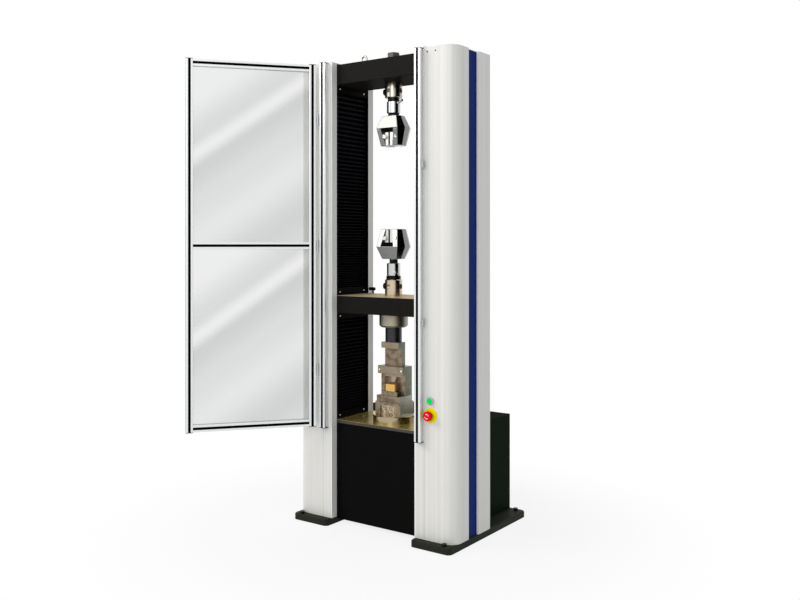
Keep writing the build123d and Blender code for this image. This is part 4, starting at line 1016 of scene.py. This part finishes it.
class TESTING_OT_door(bpy.types.Operator):
    """Posts, door frame, panes, hinges and catches, with slot cover strips and end caps"""

    bl_idname = "testing_machine.door"
    bl_label = "Guard door"

    def execute(self, context):
        colours = settings(context).finish
        sizes = settings(context).piece
        dress(aluminium_finish("profile_aluminium", colours.aluminium, 0.34), "door_posts", "door_frame")
        cast = aluminium_finish("hinge_aluminium", colours.hinge, 0.5)
        dress(cast, "post_hinges", "door_hinges", "door_catches")
        dress(pane_finish(colours.pane), "door_panes")
        black = coated("strip_black", linear(4, 5, 6), 0.5, cloud=0.1, gloss=0).material
        self.posts(black, sizes)
        self.leaf(black, sizes)
        return {"FINISHED"}

    def strip(self, shape, start, along, face, width):
        """A cover strip carried along the slot of an extrusion: a low crowned cap, and a neck in the slot."""
        across = np.cross(along / np.linalg.norm(along), face)
        half = width / 2
        proud = 0.5 * MM
        neck = 3.8 * MM
        crown = half - 0.8 * MM
        sunk = -1.4 * MM
        right = [(crown, proud), (half, 0), (neck, 0), (neck, sunk)]
        left = [(-a, b) for a, b in reversed(right)]
        shape.prism(left + right, start, across, face, along)

    def cap(self, shape, centre, profile, thickness):
        """A square end cap with cut corners, standing on the end of an extrusion."""
        half = profile / 2
        cut = half - 2 * MM
        right = [(cut, -half), (half, -cut), (half, cut), (cut, half)]
        left = [(-a, b) for a, b in reversed(right)]
        shape.prism(right + left, centre, X, Y, thickness * Z)

    def posts(self, material, sizes):
        """A strip on the front of each post, and its end caps."""
        low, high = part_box("door_posts")
        profile = high.y - low.y
        middle_y = (low.y + high.y) / 2
        tall = (high.z - low.z) * Z
        strips = Shape()
        caps = Shape()
        for side in (-1, 1):
            x = side * (high.x - profile / 2)
            self.strip(strips, (x, low.y, low.z), tall, -Y, sizes.strip_width)
            for z in (high.z, low.z - sizes.cap):
                self.cap(caps, (x, middle_y, z), profile, sizes.cap)
        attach(strips.piece("post_slot_strips", material, "black_plastic"), "frame")
        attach(caps.piece("post_end_caps", material, "black_plastic"), "frame")

    def leaf(self, material, sizes):
        """Strips in the front, back and outer slots of the door's stiles and rails, and the end caps."""
        (left, front, bottom), (right, back, top) = closed_door_box()
        profile = back - front
        half = profile / 2
        middle = (front + back) / 2
        inner = left + profile
        tall = (top - bottom) * Z
        wide = (right - left - 2 * profile) * X
        faces = ((front, -Y), (back, Y))
        places = [((x, y, bottom), tall, face) for x in (left + half, right - half) for y, face in faces]
        places.append(((right, middle, bottom), tall, X))
        rails = (bottom + half, sizes.rail_height, top - half)
        places += [((inner, y, z), wide, face) for z in rails for y, face in faces]
        places += [((inner, middle, top), wide, Z), ((inner, middle, bottom), wide, -Z)]
        strips = Shape()
        for start, along, face in places:
            self.strip(strips, start, along, face, sizes.strip_width)
        caps = Shape()
        for x in (left + half, right - half):
            for z in (bottom - sizes.cap, top):
                self.cap(caps, (x, middle, z), profile, sizes.cap)
        for shape, name in ((strips, "door_slot_strips"), (caps, "door_end_caps")):
            shape.points = [turned_door(points, -DOOR_OPEN) for points in shape.points]
            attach(shape.piece(name, material, "black_plastic"), "door")


class TESTING_OT_switches(bpy.types.Operator):
    """Push button, emergency stop and their barrels, with the turning marks on the stop head"""

    bl_idname = "testing_machine.switches"
    bl_label = "Switches"

    def execute(self, context):
        colours = settings(context).finish
        dress(plastic_finish("button_green", colours.green, 0.2), "power_button")
        dress(plastic_finish("stop_red", colours.red, 0.24), "stop_head")
        dress(plastic_finish("stop_yellow", colours.yellow, 0.34), "stop_plate")
        dress(bpy.data.materials["black_plastic"], "stop_stem")
        dress(barrel_finish(colours.bezel, colours.plastic), "switch_barrels")
        self.arrows()
        return {"FINISHED"}

    def arrows(self):
        """Two bent arrows: a ring band whose half width is constant on the shaft and runs from wide to
        nothing on the head, laid just proud of the stop head's flat front."""
        low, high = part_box("stop_head")
        centre = np.array([(low.x + high.x) / 2, low.y, (low.z + high.z) / 2])
        radius = 9 * MM
        share = np.array([0, 0.2, 0.4, 0.6, 0.6001, 0.8, 1.0])
        half = np.array([1.1, 1.1, 1.1, 1.1, 2.7, 1.4, 0.02]) * MM
        sunk, proud = -0.02 * MM, 0.15 * MM
        sweep = 2.2
        first = 0.2
        edges = ((sunk, -half), (sunk, half), (proud, half), (proud, -half))
        shape = Shape()
        for start in (first, first + np.pi):
            turn = start + share * sweep
            rings = []
            for level, side in edges:
                r = radius + side
                ring = [r * np.cos(turn), np.full_like(turn, -level), r * np.sin(turn)]
                rings.append(centre + np.stack(ring, -1))
            shape.grid(np.stack(rings, 1), around=True)
        white = plastic_finish("mark_white", linear(240, 236, 232), 0.4)
        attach(shape.piece("stop_arrows", white, "red_plastic"), "stop_head")


class TESTING_OT_stage(bpy.types.Operator):
    """Pale floor, white surround, soft lamps and the camera"""

    bl_idname = "testing_machine.stage"
    bl_label = "Stage"

    def execute(self, context):
        stage = settings(context).stage
        scene = context.scene
        scene.view_settings.view_transform = "Standard"
        self.surround(scene, stage.ambient)
        self.floor()
        self.lamp("key_lamp", place=(1.5, -5.0, 3.0), watts=stage.key, size=2.6)
        self.lamp("side_lamp", place=(-3.5, -3.9, 4.3), watts=stage.side, size=3.2)
        data = bpy.data.cameras.new("camera")
        data.lens = stage.lens
        data.shift_x = stage.shift_x
        data.shift_y = stage.shift_y
        camera = bpy.data.objects.new("camera", data)
        camera.location = stage.eye
        camera.rotation_euler = (math.pi / 2, 0, stage.azimuth)
        scene.collection.objects.link(camera)
        scene.camera = camera
        return {"FINISHED"}

    def surround(self, scene, ambient):
        """White to the eye, and a softer even light on the object."""
        world = bpy.data.worlds.new("surround")
        scene.world = world
        world.use_nodes = True
        nodes = Nodes(world.node_tree)
        cool = (0.97, 0.99, 1, 1)
        light = nodes.node("ShaderNodeBackground", inputs={"Color": cool, "Strength": ambient})
        shown = nodes.node("ShaderNodeBackground", inputs={"Color": WHITE, "Strength": 1})
        both = nodes.node("ShaderNodeMixShader", inputs={0: nodes.seen(), 1: light, 2: shown})
        world.node_tree.links.new(both.socket, world.node_tree.nodes["World Output"].inputs[0])

    def floor(self):
        """A pale floor with a light shadow by the machine, that turns white further out."""
        reach = 9
        side = np.linspace(-reach, reach, 3)
        x, y = np.meshgrid(side, side, indexing="ij")
        shape = Shape()
        shape.grid(np.stack([x, y, np.zeros_like(x)], -1))
        mesh = bpy.data.meshes.new("floor")
        mesh.from_pydata(np.concatenate(shape.points), [], shape.faces)
        pale = Finish("floor", (0.9, 0.9, 0.9), 0.9, Specular_IOR_Level=0)
        away = pale.node("ShaderNodeVectorMath", {"operation": "LENGTH"}, {0: pale.place}, output="Value")
        near, far = 0.55, 1.5
        least = 0.84
        share = pale.seen() * (away.rise(near, far) * (1 - least) + least)
        white = pale.node("ShaderNodeEmission")
        shader = Value(pale, pale.shader.outputs[0])
        both = pale.node("ShaderNodeMixShader", inputs={0: share, 1: shader, 2: white})
        pale.tree.links.new(both.socket, pale.tree.nodes["Material Output"].inputs[0])
        mesh.materials.append(pale.material)
        floor = bpy.data.objects.new("floor", mesh)
        bpy.context.scene.collection.objects.link(floor)

    def lamp(self, name, place, watts, size):
        """A square soft lamp turned to the middle of the machine."""
        data = bpy.data.lights.new(name, "AREA")
        data.energy = watts
        data.size = size
        warm = (1, 0.965, 0.925)
        middle = np.array([0, 0, 1.0])
        data.color = warm
        lamp = bpy.data.objects.new(name, data)
        bpy.context.scene.collection.objects.link(lamp)
        lamp.location = place
        aim = middle - np.array(place)
        aim /= np.linalg.norm(aim)
        lamp.rotation_euler = (math.acos(-aim[2]), 0, math.atan2(aim[1], aim[0]) - math.pi / 2)


class TESTING_PT_panel(bpy.types.Panel):
    """Lists the settings and the steps"""

    bl_label = "Testing Machine"
    bl_idname = "TESTING_PT_panel"
    bl_space_type = "VIEW_3D"
    bl_region_type = "UI"
    bl_category = "Testing Machine"

    def draw(self, context):
        groups = settings(context)
        for group in (groups.finish, groups.piece, groups.stage):
            box = self.layout.box()
            for name in group.__annotations__:
                box.prop(group, name)
        for step in STEPS:
            self.layout.operator(step.bl_idname)


STEPS = (
    TESTING_OT_columns,
    TESTING_OT_base,
    TESTING_OT_beams,
    TESTING_OT_bellows,
    TESTING_OT_grips,
    TESTING_OT_press,
    TESTING_OT_door,
    TESTING_OT_switches,
    TESTING_OT_stage,
)
CLASSES = (FinishSettings, PieceSettings, StageSettings, MachineSettings, *STEPS, TESTING_PT_panel)


def register():
    """Makes the settings and steps known to Blender."""
    for each in CLASSES:
        bpy.utils.register_class(each)
    bpy.types.Scene.testing_machine = bpy.props.PointerProperty(type=MachineSettings)


def unregister():
    """Takes them away again."""
    del bpy.types.Scene.testing_machine
    for each in reversed(CLASSES):
        bpy.utils.unregister_class(each)


def main():
    """Builds everything in order."""
    register()
    for step in STEPS:
        group, name = step.bl_idname.split(".")
        getattr(getattr(bpy.ops, group), name)()


if __name__ == "__main__":
    main()
